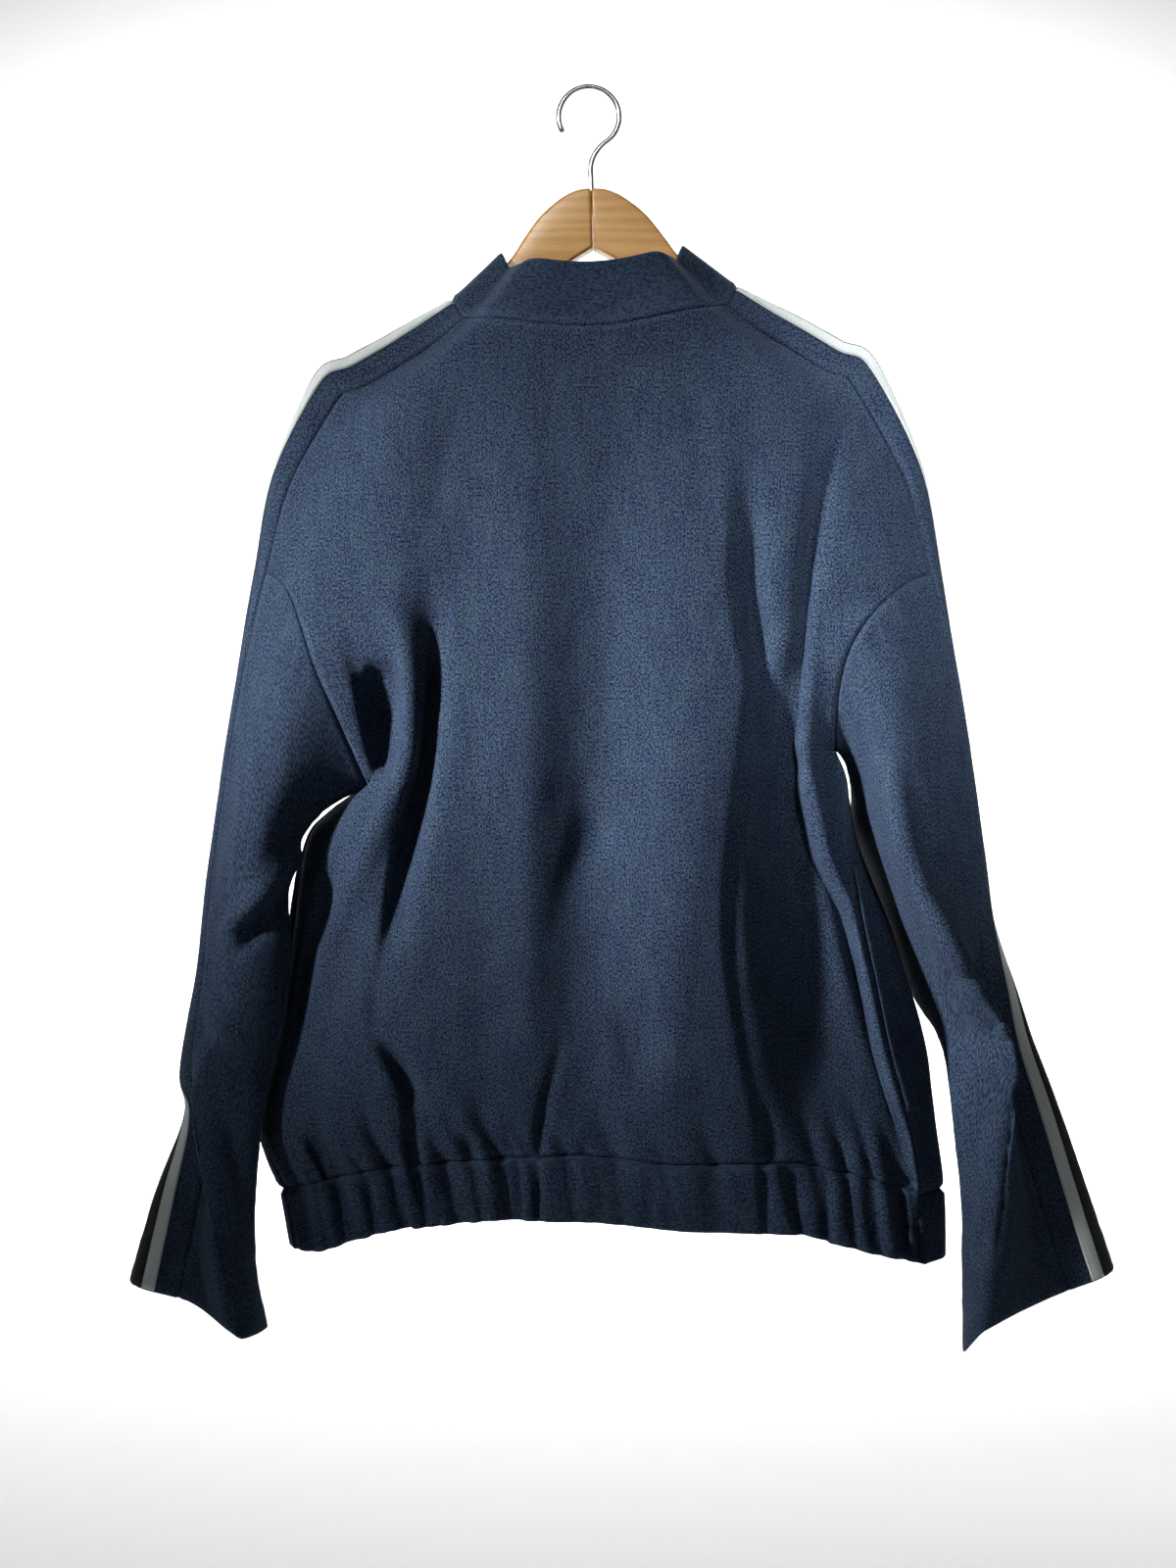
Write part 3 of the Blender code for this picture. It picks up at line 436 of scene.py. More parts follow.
STRIPS = {
    Side.LEFT: rows_of(
        StripRow,
        (-94, -4, -148, 12, 20, 43, 67), (-117, -4, -160.5, 18, 14, 58, 88),
        (-140.5, -4, -174, 22, 12, 58, 100), (-165, -4, -187.5, 24, 11, 56, 102),
        (-189, -3, -201, 20, 11, 60, 98), (-216.5, 2, -266, -14, 14, 86, 66),
        (-228, 6, -335, -28, 17, 84, 66), (-237, 8, -392, -34, 19, 78, 62),
        (-245, 8, -445, -36, 20, 76, 60), (-251.5, 8, -489, -36, 20, 76, 60),
        (-259, 8, -543, -36, 20, 76, 60), (-262.5, 8, -574, -36, 20, 76, 60),
        (-267, 8, -611, -34, 19, 76, 62), (-280, 6, -681, -24, 18, 72, 68), (-279, 1, -711, 12, 18, 56, 80),
        (-292, -6, -761, 46, 22, 36, 96), (-300, -8, -796, 54, 24, 30, 100),
        (-307.5, -10, -830, 60, 24, 28, 104),
    ),
    Side.RIGHT: rows_of(
        StripRow,
        (103, -4, -139, 12, 20, 43, 67), (127, -4, -151, 18, 14, 58, 88),
        (150.5, -4, -163, 22, 12, 58, 100), (175, -4, -177, 24, 11, 56, 102),
        (199, -3, -191, 20, 11, 60, 98), (230, 1, -262, -8, 14, 84, 70), (241.5, 5, -336, -28, 17, 84, 66),
        (247.5, 8, -379, -34, 19, 78, 62), (254.5, 8, -422.5, -36, 20, 76, 60),
        (262.5, 8, -475.5, -36, 20, 76, 60), (271.5, 7, -530, -30, 20, 74, 64),
        (279, 4, -574, -12, 20, 66, 72), (293.5, 0, -618.5, 20, 20, 52, 84),
        (304, -5, -660.5, 40, 20, 40, 94), (319.5, -7, -707.5, 50, 22, 34, 98),
        (334.5, -8, -755.5, 55, 23, 30, 100), (346, -9, -793, 57, 24, 28, 102),
        (355.5, -10, -822, 58, 24, 28, 104),
    ),
}

SLEEVES = {
    Side.LEFT: rows_of(
        SleeveRow,
        (-179, -50, -415, -151, -14, -483, -186, 46, -416, 1.0, 35),
        (-197, -53, -446, -168, -14, -489, -205, 48, -446, 1.0, 40),
        (-210, -54, -476, -186, -16, -502, -218, 48, -476, 1.0, 40),
        (-221, -56, -508, -200, -18, -524, -228, 46, -508, 1.0, 30),
        (-229, -56, -541, -205, -22, -560, -234, 42, -545, 0.9, 12),
        (-235, -42, -581, -203, -24, -583, -236, 38, -580, 0.8, 12),
        (-238, -44, -621, -205, -26, -620, -239, 36, -618, 0.8, 12),
        (-262, -41, -680, -217, -26, -682, -250, 34, -680, 0.7, 12),
        (-270, -38, -709, -224, -26, -727, -256, 32, -716, 0.5, 12),
        (-262, -44, -753, -227, -26, -777, -263, 30, -766, 0.35, 12),
        (-249, -50, -798, -226, -26, -814, -266, 28, -801, 0.35, 12),
        (-233, -55, -853, -219, -25, -852, -268, 26, -842, 0.35, 12),
    ),
    Side.RIGHT: rows_of(
        SleeveRow,
        (178, -51, -386, 170, -14, -457, 192, 46, -396, 1.0, 12),
        (193, -54, -430, 180, 0, -470, 208, 48, -432, 0.9, 15),
        (200, -54, -466, 185, 20, -489, 220, 48, -466, 0.7, 0),
        (205, -56, -496, 187, 34, -516, 230, 49, -500, 0.6, -12),
        (215, -56, -535, 203, 36, -558, 242, 49, -542, 0.5, -12),
        (233, -54, -573, 217.5, 36, -601, 254, 48, -582, 0.5, -10),
        (258, -48, -616, 230, 28, -632, 264, 43, -622, 0.5, 0),
        (285, -41, -651, 246, 6, -662, 274, 37, -660, 0.5, 10),
        (290, -42, -696, 251, -10, -707, 286, 32, -706, 0.4, 12),
        (282, -46, -750, 255, -14, -757, 296, 30, -756, 0.35, 12),
        (274, -50, -788, 257, -16, -800, 302, 28, -796, 0.35, 12),
        (265, -55, -848, 257, -20, -870, 310, 26, -848, 0.35, 12),
    ),
}

BODY = rows_of(
    BodyRow,
    (0, -46, -50, -46, 20, 20, 40, 40, 20, 20, 46, -240, 14.5, 30),
    (1, -44, -51, -44, 18, 18, 38, 38, 8, 8, 48, -262, 12, 18),
    (2, -43, -52, -43, 16, 16, 38, 38, 6, 6, 50, -286, 9, 8),
    (3, -45, -54, -45, 16, 16, 40, 40, 6, 6, 51, -312, 6, 2),
    (4, -49, -56, -49, 20, 20, 42, 42, 12, 12, 52, -340, 4, 0),
    (5, -54, -59, -54, 34, 34, 44, 44, 34, 34, 53, -370, 2, 0),
    (6, -57, -61, -57, 46, 46, 50, 50, 46, 46, 54, -400, 0, 0),
    (8, -58, -62, -58, 24, 14, 54, 54, 14, 14, 55, -462, 0, 0),
    (10, -58, -63, -58, 66, 36, 56, 56, 70, 20, 56, -530, 0, 0),
    (11, -58, -63, -58, 84, 42, 56, 54, 88, -10, 56, -568, 0, 0),
    (12, -59, -63, -58, 88, 45, 56, 54, 88, -30, 56, -612, 0, 0),
    (14, -60, -63, -58, 90, 45, 55, 53, 90, -35, 55, -690, 0, 0),
    (15, -61, -64, -59, 92, 50, 55, 53, 92, -35, 55, -722, 0, 0),
    (16, -55, -59, -53, 88, 55, 51, 49, 88, -30, 52, -748, 0, 0),
    (17, -51, -55, -49, 85, 60, 48, 46, 85, -20, 49, -790, 0, 0),
)

SIDES = {
    Side.LEFT: rows_of(
        SidePoint,
        (10, -151, -14, -483, 0), (10.5, -176, 0, -499, 1), (11, -194, 8, -520, 2), (12, -204, 10, -580, 2),
        (13, -210, 10, -630, 2), (14, -219, 10, -675, 2), (15, -227, 10, -726, 2), (16, -213, 6, -765, 2),
        (17, -205, 4, -804, 2),
    ),
    Side.RIGHT: rows_of(
        SidePoint,
        (10, 170, -14, -457, 0), (10.5, 178, -24, -482, 2), (11, 178, -28, -520, 8),
        (12, 184, -30, -572, 23), (13, 193, -30, -618, 29), (14, 203, -30, -664, 32),
        (15, 220, -28, -720, 22), (16, 228, -24, -763, 19), (17, 231, -20, -811, 17),
    ),
}

# Extra height of the waist seam and of the hem over a straight line between the side seams,
# at places across the back from left to right.
WAIST_PLACES = (0.0, 0.08, 0.2, 0.35, 0.5, 0.62, 0.8, 0.9, 1.0)
WAIST_RISE = (0.0, 8.0, 23.0, 31.0, 34.0, 27.0, 26.0, 14.0, 0.0)
HEM_RISE = (0.0, 2.0, 22.0, 32.0, 32.0, 27.0, 24.0, 11.0, 0.0)

BACK_FOLDS = rows_of(
    Fold,
    ((-105, -351), (-108, -430), (-131, -580), 13, 2, 11, 2),
    ((-131, -377), (-117, -445), (-157, -547), 12, -1, -6, -2),
    ((-137, -405), (-138, -435), (-140, -460), 15, 2, 6, 2),
    ((165, -235), (148, -330), (145, -370), 12, 1, 5, 1),
    ((118, -270), (110, -330), (112, -385), 14, 1, 4, 2),
    ((131, -377), (128, -547), (144, -740), 26, 3, 13, 7),
    ((150, -410), (165, -515), (212, -720), 13, -2, -5, -2),
    ((-6, -325), (-12, -520), (-18, -700), 22, 1, 4, 2),
    ((-72, -300), (-74, -500), (-78, -660), 22, -1, -3, -1),
    ((46, -300), (50, -500), (52, -680), 24, -1, -3, -1),
    ((-150, -540), (-172, -620), (-188, -700), 13, 1, 4, 2),
    ((-131, -660), (-117, -690), (-108, -705), 13, 1, 5, 2),
)

FRONT_FOLDS = rows_of(
    Fold,
    ((-120, -330), (-126, -480), (-138, -650), 20, 2, 8, 3),
    ((118, -320), (126, -480), (142, -660), 20, 2, 9, 3),
    ((-60, -420), (-62, -560), (-58, -700), 18, 1, 4, 2),
    ((66, -400), (64, -560), (70, -700), 18, 1, 4, 2),
)

# Gathers of the waist: middle across the back (0 left, 1 right), half width, depth.
BACK_GATHERS = (
    (0.06, 0.025, 4.0), (0.14, 0.022, 5.0), (0.22, 0.022, 5.0), (0.3, 0.024, 4.0), (0.39, 0.024, 4.0),
    (0.55, 0.03, 2.0), (0.7, 0.03, 1.5), (0.88, 0.028, 3.0), (0.95, 0.022, 4.0),
)

BODY_NAME = "jacket_on_hanger"
FAR = 999.0
SEAM_GAP = 0.2
SEAM_DEPTH = 1.1
SEAM_REACH = 2.0
SEAM_RIDGE = 0.45
RIDGE_AWAY = 3.4
RIDGE_WIDTH = 1.7
PUCKER_HEIGHT = 0.5
PUCKER_AWAY = 4
PUCKER_WIDTH = 5.5
# Size in millimetres and seed of the random wrinkles, puckers along seams and worn patches.
BROAD_WRINKLES = (38, 3.1)
FINE_WRINKLES = (15, 7.7)
PUCKERS = (6.5, 1.3)
WORN_PATCHES = (9, 5.5)
WRINKLE_STRETCH = (1, 1, 0.55)
CREASE_FADE = 5.0
WRINKLE_FADE = 14.0
WAIST_DIP = 2.0
WAIST_REACH = 3.2
WELT_GAPE = 3.2
# How far each line of stitches runs from its edge.
TAPE_STITCH = 1.4
STRIP_STITCH = 2.4
ZIP_STITCH = 6.0
WELT_STITCH = 1.6
NECK_STITCH = 2.2
CUFF_HEM = 18.0
STITCH_PITCH = 3.4
STITCH_SIZE = (0.5, 0.5, 2.7)
TOOTH_PITCH = 2.4
TOOTH_SIZE = (3.4, 1.9, 1.1)
TOOTH_REACH = 0.9
TOOTH_LIFT = -0.15
ZIP_TAPE_REACH = 12.0
ZIP_TAPE_DEPTH = 2.0
ZIP_TAPE_GAP = 0.25
ZIP_TAPE_STEPS = 6

# Over what share of a row's width its folds, hollows, gathers and evened depths fade in from each
# edge. SIDE_KEPT is the share beside a side seam that a front's folds leave free.
FOLD_FADE = 0.07
HOLLOW_FADE = 0.025
GATHER_FADE = 0.02
DEPTH_FADE = 0.12
FRONT_FADE = 0.15
SIDE_FADE = 0.1
SIDE_KEPT = 0.05

# The fronts' broad waves at the waist, and their fine gathers: how many, their pitch and half width.
FRONT_WAVE = 3.0
FRONT_GATHERS = 9
FRONT_GATHER_PITCH = 0.095
FRONT_GATHER_HALF = 0.018

BACK_HOLLOWS = rows_of(
    Hollow,
    # Where the right side turns away behind the middle, up to the side seam.
    (
        (
            (-392, 110, 152, 0), (-425, 110, 149, 8), (-454, 109, 146, 13), (-490, 106, 150, 17),
            (-530, 103, 162, 21), (-570, 101, 182, 25), (-615, 103, 196, 25), (-667, 110, 208, 24),
            (-700, 115, 218, 20), (-735, 119, 228, 14), (-790, 124, 232, 5),
        ),
        0.6, 0.14,
    ),
    # The two valleys above it.
    (
        (
            (-205, 160, 178, 0), (-250, 154, 172, 3), (-290, 144, 161, 5), (-330, 139, 154, 7),
            (-392, 131, 151, 9), (-430, 130, 150, 0),
        ),
        0.75, 0.3,
    ),
    (
        (
            (-235, 92, 124, 0), (-300, 90, 122, 5), (-345, 90, 123, 8), (-392, 97, 130, 9),
            (-430, 108, 134, 0),
        ),
        0.5, 0.5,
    ),
    # The pouch under the left shoulder.
    (
        (
            (-399, -142, -130, 0), (-406, -150, -123, 8), (-418, -156, -119, 12), (-440, -153, -119, 12),
            (-465, -149, -121, 9), (-492, -148, -126, 0),
        ),
        0.3, 0.25,
    ),
    # The narrow valley under the left fold's crest.
    (
        (
            (-372, -110, -98, 0), (-405, -113, -97, 6), (-435, -117, -98, 11), (-465, -120, -98, 13),
            (-500, -127, -101, 12), (-545, -136, -108, 9), (-585, -142, -118, 4), (-620, -146, -124, 0),
        ),
        0.3, 0.8,
    ),
    # Beside the left side seam.
    (
        (
            (-528, -182, -166, 0), (-560, -190, -172, 5), (-610, -202, -180, 7), (-650, -208, -188, 5),
            (-690, -212, -192, 0),
        ),
        0.35, 0.6,
    ),
    # Lower left, above the gathers.
    (
        (
            (-652, -146, -128, 0), (-664, -142, -118, 7), (-682, -132, -108, 8), (-700, -126, -110, 4),
            (-735, -124, -108, 5), (-775, -120, -104, 2),
        ),
        0.4, 0.5,
    ),
    (
        ((-716, -196, -178, 0), (-728, -192, -170, 6), (-748, -184, -164, 4), (-790, -176, -158, 1)),
        0.4, 0.5,
    ),
    # Soft unevenness of the middle.
    (
        (
            (-190, -36, 84, 0), (-260, -40, 86, 4), (-330, -44, 86, 7), (-420, -46, 84, 10),
            (-500, -44, 82, 12), (-560, -46, 74, 13), (-620, -44, 66, 12), (-680, -38, 60, 7),
            (-750, -34, 56, 0),
        ),
        0.5, 0.6,
    ),
    (
        ((-470, -20, 22, 0), (-505, -16, 30, 3), (-530, -22, 26, 4), (-560, -30, 14, 1), (-590, -34, 8, 0)),
        0.4, 0.6,
    ),
    (((-620, 4, 50, 0), (-645, 10, 62, 4), (-672, 14, 60, 3), (-700, 16, 54, 0)), 0.4, 0.6),
    # The long soft streak left of the middle.
    (
        (
            (-200, -134, -40, 0), (-260, -136, -38, 3), (-340, -134, -36, 5.5), (-420, -130, -36, 6.5),
            (-500, -124, -34, 6), (-580, -118, -34, 5), (-650, -112, -36, 3), (-720, -108, -40, 0),
        ),
        0.6, 0.5,
    ),
)

FRONT_HOLLOWS = rows_of(
    Hollow,
    (
        (
            (-330, -128, -96, 0), (-400, -136, -98, 6), (-470, -142, -100, 12), (-540, -150, -104, 14),
            (-620, -160, -112, 12), (-690, -168, -120, 7), (-750, -172, -126, 2),
        ),
        0.5, 0.4,
    ),
    (
        (
            (-290, -70, -34, 0), (-380, -72, -30, 4), (-480, -76, -28, 7), (-600, -82, -32, 5),
            (-740, -88, -40, 0),
        ),
        0.5, 0.5,
    ),
    (
        (
            (-310, 98, 128, 0), (-390, 100, 138, 7), (-470, 102, 146, 13), (-550, 108, 158, 15),
            (-630, 116, 170, 12), (-700, 126, 180, 6), (-760, 134, 186, 2),
        ),
        0.4, 0.5,
    ),
    (
        ((-280, 30, 66, 0), (-390, 28, 70, 5), (-500, 30, 76, 8), (-610, 34, 80, 6), (-740, 44, 86, 0)),
        0.5, 0.5,
    ),
)

BACK_CREASES = rows_of(
    Crease,
    # The long fold that hangs from the left armhole: its sharp crest, its pouch and its right valley.
    (
        ((-147, -345), (-124, -378), (-118, -420), (-119, -461), (-126, -490)),
        (7, 12),
        (0, -2.5, -4.5, -5, -2),
    ),
    (
        ((-126, -474), (-145, -519), (-158, -551), (-171, -583), (-190, -646)),
        (6, 9),
        (-2, -3, -3.5, -2.5, 0),
    ),
    (((-160, -392), (-149, -425), (-143, -462)), (5, 14), (1, 6, 5)),
    (((-107, -385), (-108, -432), (-111, -464), (-119, -506), (-132, -583)), (5, 9), (1, 4, 5, 4.5, 1)),
    # Side creases under the left armhole.
    (((-171, -538), (-178, -560), (-200, -625), (-203, -647)), (4, 6), (1, 3, 3, 1)),
    (((-153, -498), (-157, -520)), (8, 8), (-3, -2)),
    # Lower left: short pulls towards the gathered waist.
    (((-146, -600), (-145, -625), (-143, -660)), (4, 7), (0, 2.4, 1)),
    (((-139, -655), (-126, -672), (-116, -692)), (5, 4), (1, 3, 1.5)),
    (((-193, -720), (-186, -734), (-178, -750)), (5, 4), (1, 6, 6)),
    (((-121, -698), (-120, -720), (-118, -742)), (3, 6), (1, 5, 6)),
    (((-128, -728), (-127, -744)), (3, 3), (0.5, 3)),
    (((-83, -712), (-80, -724), (-76, -737)), (4, 4), (0, 5, 6)),
    (((-60, -710), (-54, -720), (-46, -733)), (5, 3), (0, 3, 6)),
    (((-4, -720), (0, -733)), (3, 4), (0, 4)),
    (((118, -700), (121, -720), (123, -740)), (3, 6), (1, 3.5, 4)),
    (((206, -742), (222, -756)), (6, 4), (0, 5)),
    # Middle: faint pulls over the waist.
    (((-15, -650), (-28, -691), (-34, -733)), (3.5, 4), (0, 3.5, 6)),
    (((-13, -500), (8, -520), (29, -534)), (12, 14), (0, 1.6, 0)),
    (((19, -636), (34, -660), (52, -678)), (12, 12), (0, 1.8, 0)),
    # Broad valley down the right, and the lit ridge right of it.
    (
        ((106, -325), (111, -390), (104, -470), (95, -560), (100, -630), (121, -732)),
        (4, 12),
        (0, 1.5, 2.5, 3, 3, 2),
    ),
    (
        ((150, -325), (148, -400), (148, -467), (167, -583), (193, -667), (212, -706)),
        (10, 6),
        (0, -1.5, -3, -3.5, -3.5, -2),
    ),
    (((140, -466), (158, -474), (176, -476), (196, -470)), (6, 6), (1, 3, 3, 1)),
    (((166, -434), (165, -450), (164, -466)), (4, 4), (-1, -2, -1)),
    (((197, -600), (209, -680), (221, -729)), (4, 4), (0, 2.5, 2)),
    # Upper right: soft valleys that run down from the shoulder.
    (((169, -217), (166, -247), (156, -285), (148, -330), (145, -368)), (6, 9), (0.5, 2, 2.5, 2, 0)),
    (((118, -270), (110, -323), (110, -378)), (6, 10), (0, 2, 0.5)),
    # Upper left and middle: faint drag lines from the neck and the blades.
    (((-80, -205), (-96, -262), (-112, -330)), (8, 10), (0, 1.4, 0)),
    (((-30, -190), (-22, -260), (-18, -330)), (12, 12), (0, 1.2, 0)),
    (((60, -190), (74, -262), (84, -340)), (9, 12), (0, 1.5, 0)),
)

BAND_CREASES = rows_of(
    Crease,
    (((-196, -758), (-194, -790)), (4, 6), (3, 4)),
    (((-171, -750), (-169, -770), (-165, -794)), (3, 5), (3, 5, 4.5)),
    (((-146, -746), (-146, -768), (-145, -788)), (6, 4), (2, 5, 4.5)),
    (((-123, -760), (-121, -786)), (3, 3), (1, 4)),
    (((-114, -741), (-110, -762), (-108, -784)), (5, 2.5), (4, 4.5, 4)),
    (((-101, -758), (-100, -782)), (3, 4), (1, 5)),
    (((-83, -758), (-82, -780)), (4, 4), (0.5, 3)),
    (((-73, -734), (-71, -752)), (3, 4), (3, 1)),
    (((-57, -752), (-56, -774)), (4, 3), (0.5, 3)),
    (((-46, -732), (-45, -772)), (4, 2.5), (3.5, 3.5)),
    (((-34, -731), (-34, -771)), (2.5, 3), (5, 4.5)),
    (((8, -731), (10, -752), (8, -772)), (6, 6), (0, 1.6, 1)),
    (((44, -733), (42, -775)), (6, 7), (1.2, 1.8)),
    (((80, -736), (82, -777)), (5, 6), (1.5, 1)),
    (((116, -738), (118, -780)), (2.5, 5), (2.5, 3)),
    (((132, -740), (136, -760), (141, -782)), (2.5, 9), (3, 5, 5)),
    (((162, -744), (161, -786)), (3, 4), (3, 3.5)),
    (((188, -750), (192, -790)), (4, 5), (2, 3)),
    (((212, -756), (216, -796)), (4, 4), (2.5, 3.5)),
    (((226, -760), (227, -804)), (3, 3), (4, 4)),
)

COLLAR_CREASES = rows_of(
    Crease,
    (((-52, -118), (-46, -134), (-44, -150)), (5, 8), (0.5, 1.4, 0.5)),
    (((40, -116), (44, -132), (46, -148)), (8, 6), (0.5, 1.2, 0.5)),
)

FRONT_CREASES = rows_of(
    Crease,
    (((-150, -420), (-132, -500), (-118, -600)), (8, 10), (0, 5.4, 0)),
    (((-96, -300), (-104, -380), (-110, -450)), (8, 10), (0, 3.6, 0)),
    (((-70, -560), (-84, -650), (-88, -726)), (6, 8), (0, 3.6, 3.6)),
    (((-40, -470), (-36, -560), (-44, -660)), (8, 8), (0, 3.2, 0)),
    (((150, -430), (134, -510), (122, -610)), (9, 8), (0, 5.4, 0)),
    (((98, -310), (106, -392), (108, -460)), (9, 8), (0, 3.6, 0)),
    (((74, -570), (86, -654), (94, -726)), (7, 6), (0, 3.6, 3.6)),
    (((42, -480), (38, -570), (48, -650)), (8, 8), (0, 2.9, 0)),
)

SLEEVE_BACK_CREASES = rows_of(
    Crease,
    # Left elbow: the overhanging fold, the dark hollow under it, and pulls above and below it.
    (((-201, -531), (-220, -556), (-241, -579)), (7, 5), (-5.7, -9.5, -5.7)),
    (((-201, -560), (-222, -580), (-240, -598)), (6, 6), (5.7, 8.5, 3.8)),
    (((-262, -560), (-246, -572), (-226, -580)), (6, 5), (0, 4.8, 1.9)),
    (((-232, -470), (-228, -510), (-236, -548)), (8, 9), (0, 3.8, 1.9)),
    (((-211, -430), (-216, -470), (-214, -510)), (7, 8), (0, 3, 0)),
    (((-276, -640), (-258, -656), (-238, -662)), (5, 7), (1.9, 5.7, 1.9)),
    (((-262, -610), (-246, -628), (-228, -640)), (6, 6), (0, 3.8, 0)),
    (((-271, -701), (-263, -753), (-248, -800), (-236, -846)), (4, 7), (2.8, 5.7, 5.7, 2.8)),
    (((-246, -690), (-240, -730), (-226, -776)), (6, 6), (0, 3.4, 0.9)),
    (((-286, -770), (-272, -800), (-262, -830)), (5, 6), (0, 3, 1.9)),
    # Right elbow: the lit ridge along the inner edge and the creases of the forearm.
    (
        ((197, -469), (208, -518), (219, -544), (250, -603), (285, -641)),
        (5, 9),
        (-1.9, -4.8, -4.8, -5.7, -2.8),
    ),
    (((214, -470), (226, -520), (243, -570)), (6, 8), (0.9, 4.6, 0.9)),
    (((262, -520), (248, -545), (232, -556)), (7, 6), (0, 4.9, 1.9)),
    (((284, -590), (268, -606), (252, -614)), (6, 6), (0, 5.3, 1.9)),
    (((300, -630), (284, -648), (268, -652)), (6, 6), (0, 4.9, 1.9)),
    (((291, -687), (284, -730), (279, -767), (271, -806)), (4, 6), (2.8, 5.7, 5.7, 2.8)),
    (((318, -700), (312, -752), (302, -806)), (6, 6), (0, 3.8, 0.9)),
    (((270, -690), (262, -740), (254, -790)), (6, 5), (0, 3.4, 0.9)),
)

SLEEVE_FRONT_CREASES = rows_of(
    Crease,
    (((-206, -520), (-226, -548), (-250, -566)), (7, 7), (1.8, 7.2, 1.8)),
    (((-230, -590), (-246, -606), (-268, -620)), (6, 6), (0, 5.4, 1.8)),
    (((-240, -640), (-256, -652), (-276, -660)), (6, 6), (0, 4.7, 1.8)),
    (((-262, -700), (-256, -760), (-246, -830)), (5, 7), (1.8, 4.7, 1.8)),
    (((-208, -420), (-218, -470), (-226, -510)), (8, 8), (0, 3.6, 0)),
    (((222, -520), (240, -548), (262, -566)), (7, 7), (1.8, 7.2, 1.8)),
    (((252, -600), (270, -612), (292, -620)), (6, 6), (0, 5.4, 1.8)),
    (((262, -650), (280, -660), (304, -668)), (6, 6), (0, 4.7, 1.8)),
    (((300, -700), (294, -750), (284, -806)), (5, 7), (1.8, 4.7, 1.8)),
    (((206, -430), (216, -474), (226, -514)), (8, 8), (0, 3.6, 0)),
)

WAIST_PLEATS = rows_of(
    Pleat,
    (0.035, 0.009, 3.8, 1.4, 1), (0.075, 0.011, 4.8, 1.9, 1), (0.105, 0.007, 3.5, 1.1, 0.9),
    (0.148, 0.01, 5.1, 1.7, 1), (0.182, 0.007, 3.2, 1.2, 1), (0.222, 0.009, 4.5, 2.1, 0.9),
    (0.262, 0.007, 2.9, 1, 1), (0.301, 0.01, 4.2, 1.6, 1), (0.338, 0.008, 3.5, 1.3, 0.9),
    (0.378, 0.009, 4.2, 1.8, 1), (0.42, 0.007, 2.6, 1, 0.8), (0.472, 0.01, 2.6, 1.2, 0.7),
    (0.54, 0.012, 1.9, 1.3, 0.7), (0.61, 0.011, 1.6, 1, 0.8), (0.682, 0.012, 1.9, 1.4, 0.7),
    (0.752, 0.01, 1.6, 0.9, 0.8), (0.83, 0.01, 2.9, 1.4, 0.9), (0.873, 0.008, 3.8, 1.3, 1),
    (0.912, 0.009, 4.5, 1.7, 1), (0.951, 0.008, 4.2, 1.3, 1), (0.98, 0.006, 2.6, 1, 0.9),
)

TILT = Matrix.Rotation(-math.radians(1.87), 4, "Y")
WOOD_THICKNESS = 16.0
WOOD_EDGE = 5.0
WOOD_OUTLINE = (
    (0.15, -70), (11, -71.5), (22, -77), (36, -88.5), (47, -102.5), (58, -118), (70, -130), (84, -140.1),
    (101, -149.1), (145, -174.7), (178, -195.2), (184, -202.3), (183, -213), (176, -217), (145, -200),
    (100, -173), (60, -148), (30, -129), (0.15, -111),
)
HOOK_WIRE = 1.9
HOOK_RADIUS = 21.0
HOOK_STEM_END = -86.0
HOOK_STEM_TOP = -50.0
# Where the crook starts and ends, in degrees, and the rings that round its end off: shift and scale.
HOOK_TURNS = (-62, 205)
HOOK_END = ((-0.55, 0.83), (-0.9, 0.45))


class Lamp(NamedTuple):
    """An area light: its name, place, aim and size in metres, spread in degrees, power in watts."""

    name: str
    place: Triple
    aim: Triple
    size: float
    spread: float
    watts: float


LAMPS = rows_of(
    Lamp,
    ("key", (-2.55, -1.5, 0.45), (0.05, -0.06, -0.43), 0.34, 13.8, 1.5),
    ("fill", (0.7, -1.7, 0.1), (0.285, 0.0, -0.32), 0.2, 18.0, 0.42),
    ("shoulder", (1.1, -0.35, 0.55), (0.165, 0.0, -0.18), 0.15, 8.0, 0.05),
    ("top", (-0.3, -1.6, 0.5), (0.0, 0.0, -0.05), 0.2, 9.0, 0.03),
    ("wash_left", (-1.6, 1.5, 2.2), (0.0, 3.6, -0.35), 1.6, 88.0, 64.0),
    ("wash_right", (1.6, 1.5, 2.2), (0.0, 3.6, -0.35), 1.6, 88.0, 64.0),
    ("floor_wash", (0.0, 1.9, 0.9), (0.0, 1.2, -1.05), 2.4, 120.0, 50.0),
)
BACKDROP = (0.66, 0.66, 0.66)
SKY = 0.02
FLOOR_Z = -1.05
FLOOR_RADIUS = 3.0
WALL_BEND = 1.4
WALL_TOP = 3.4
VIEW_DISTANCE = 1.5
VIEW_DROP = 0.4821
VIEW_HALF_HEIGHT = 0.544


# ---------------------------------------------------------------- sampling of the pieces

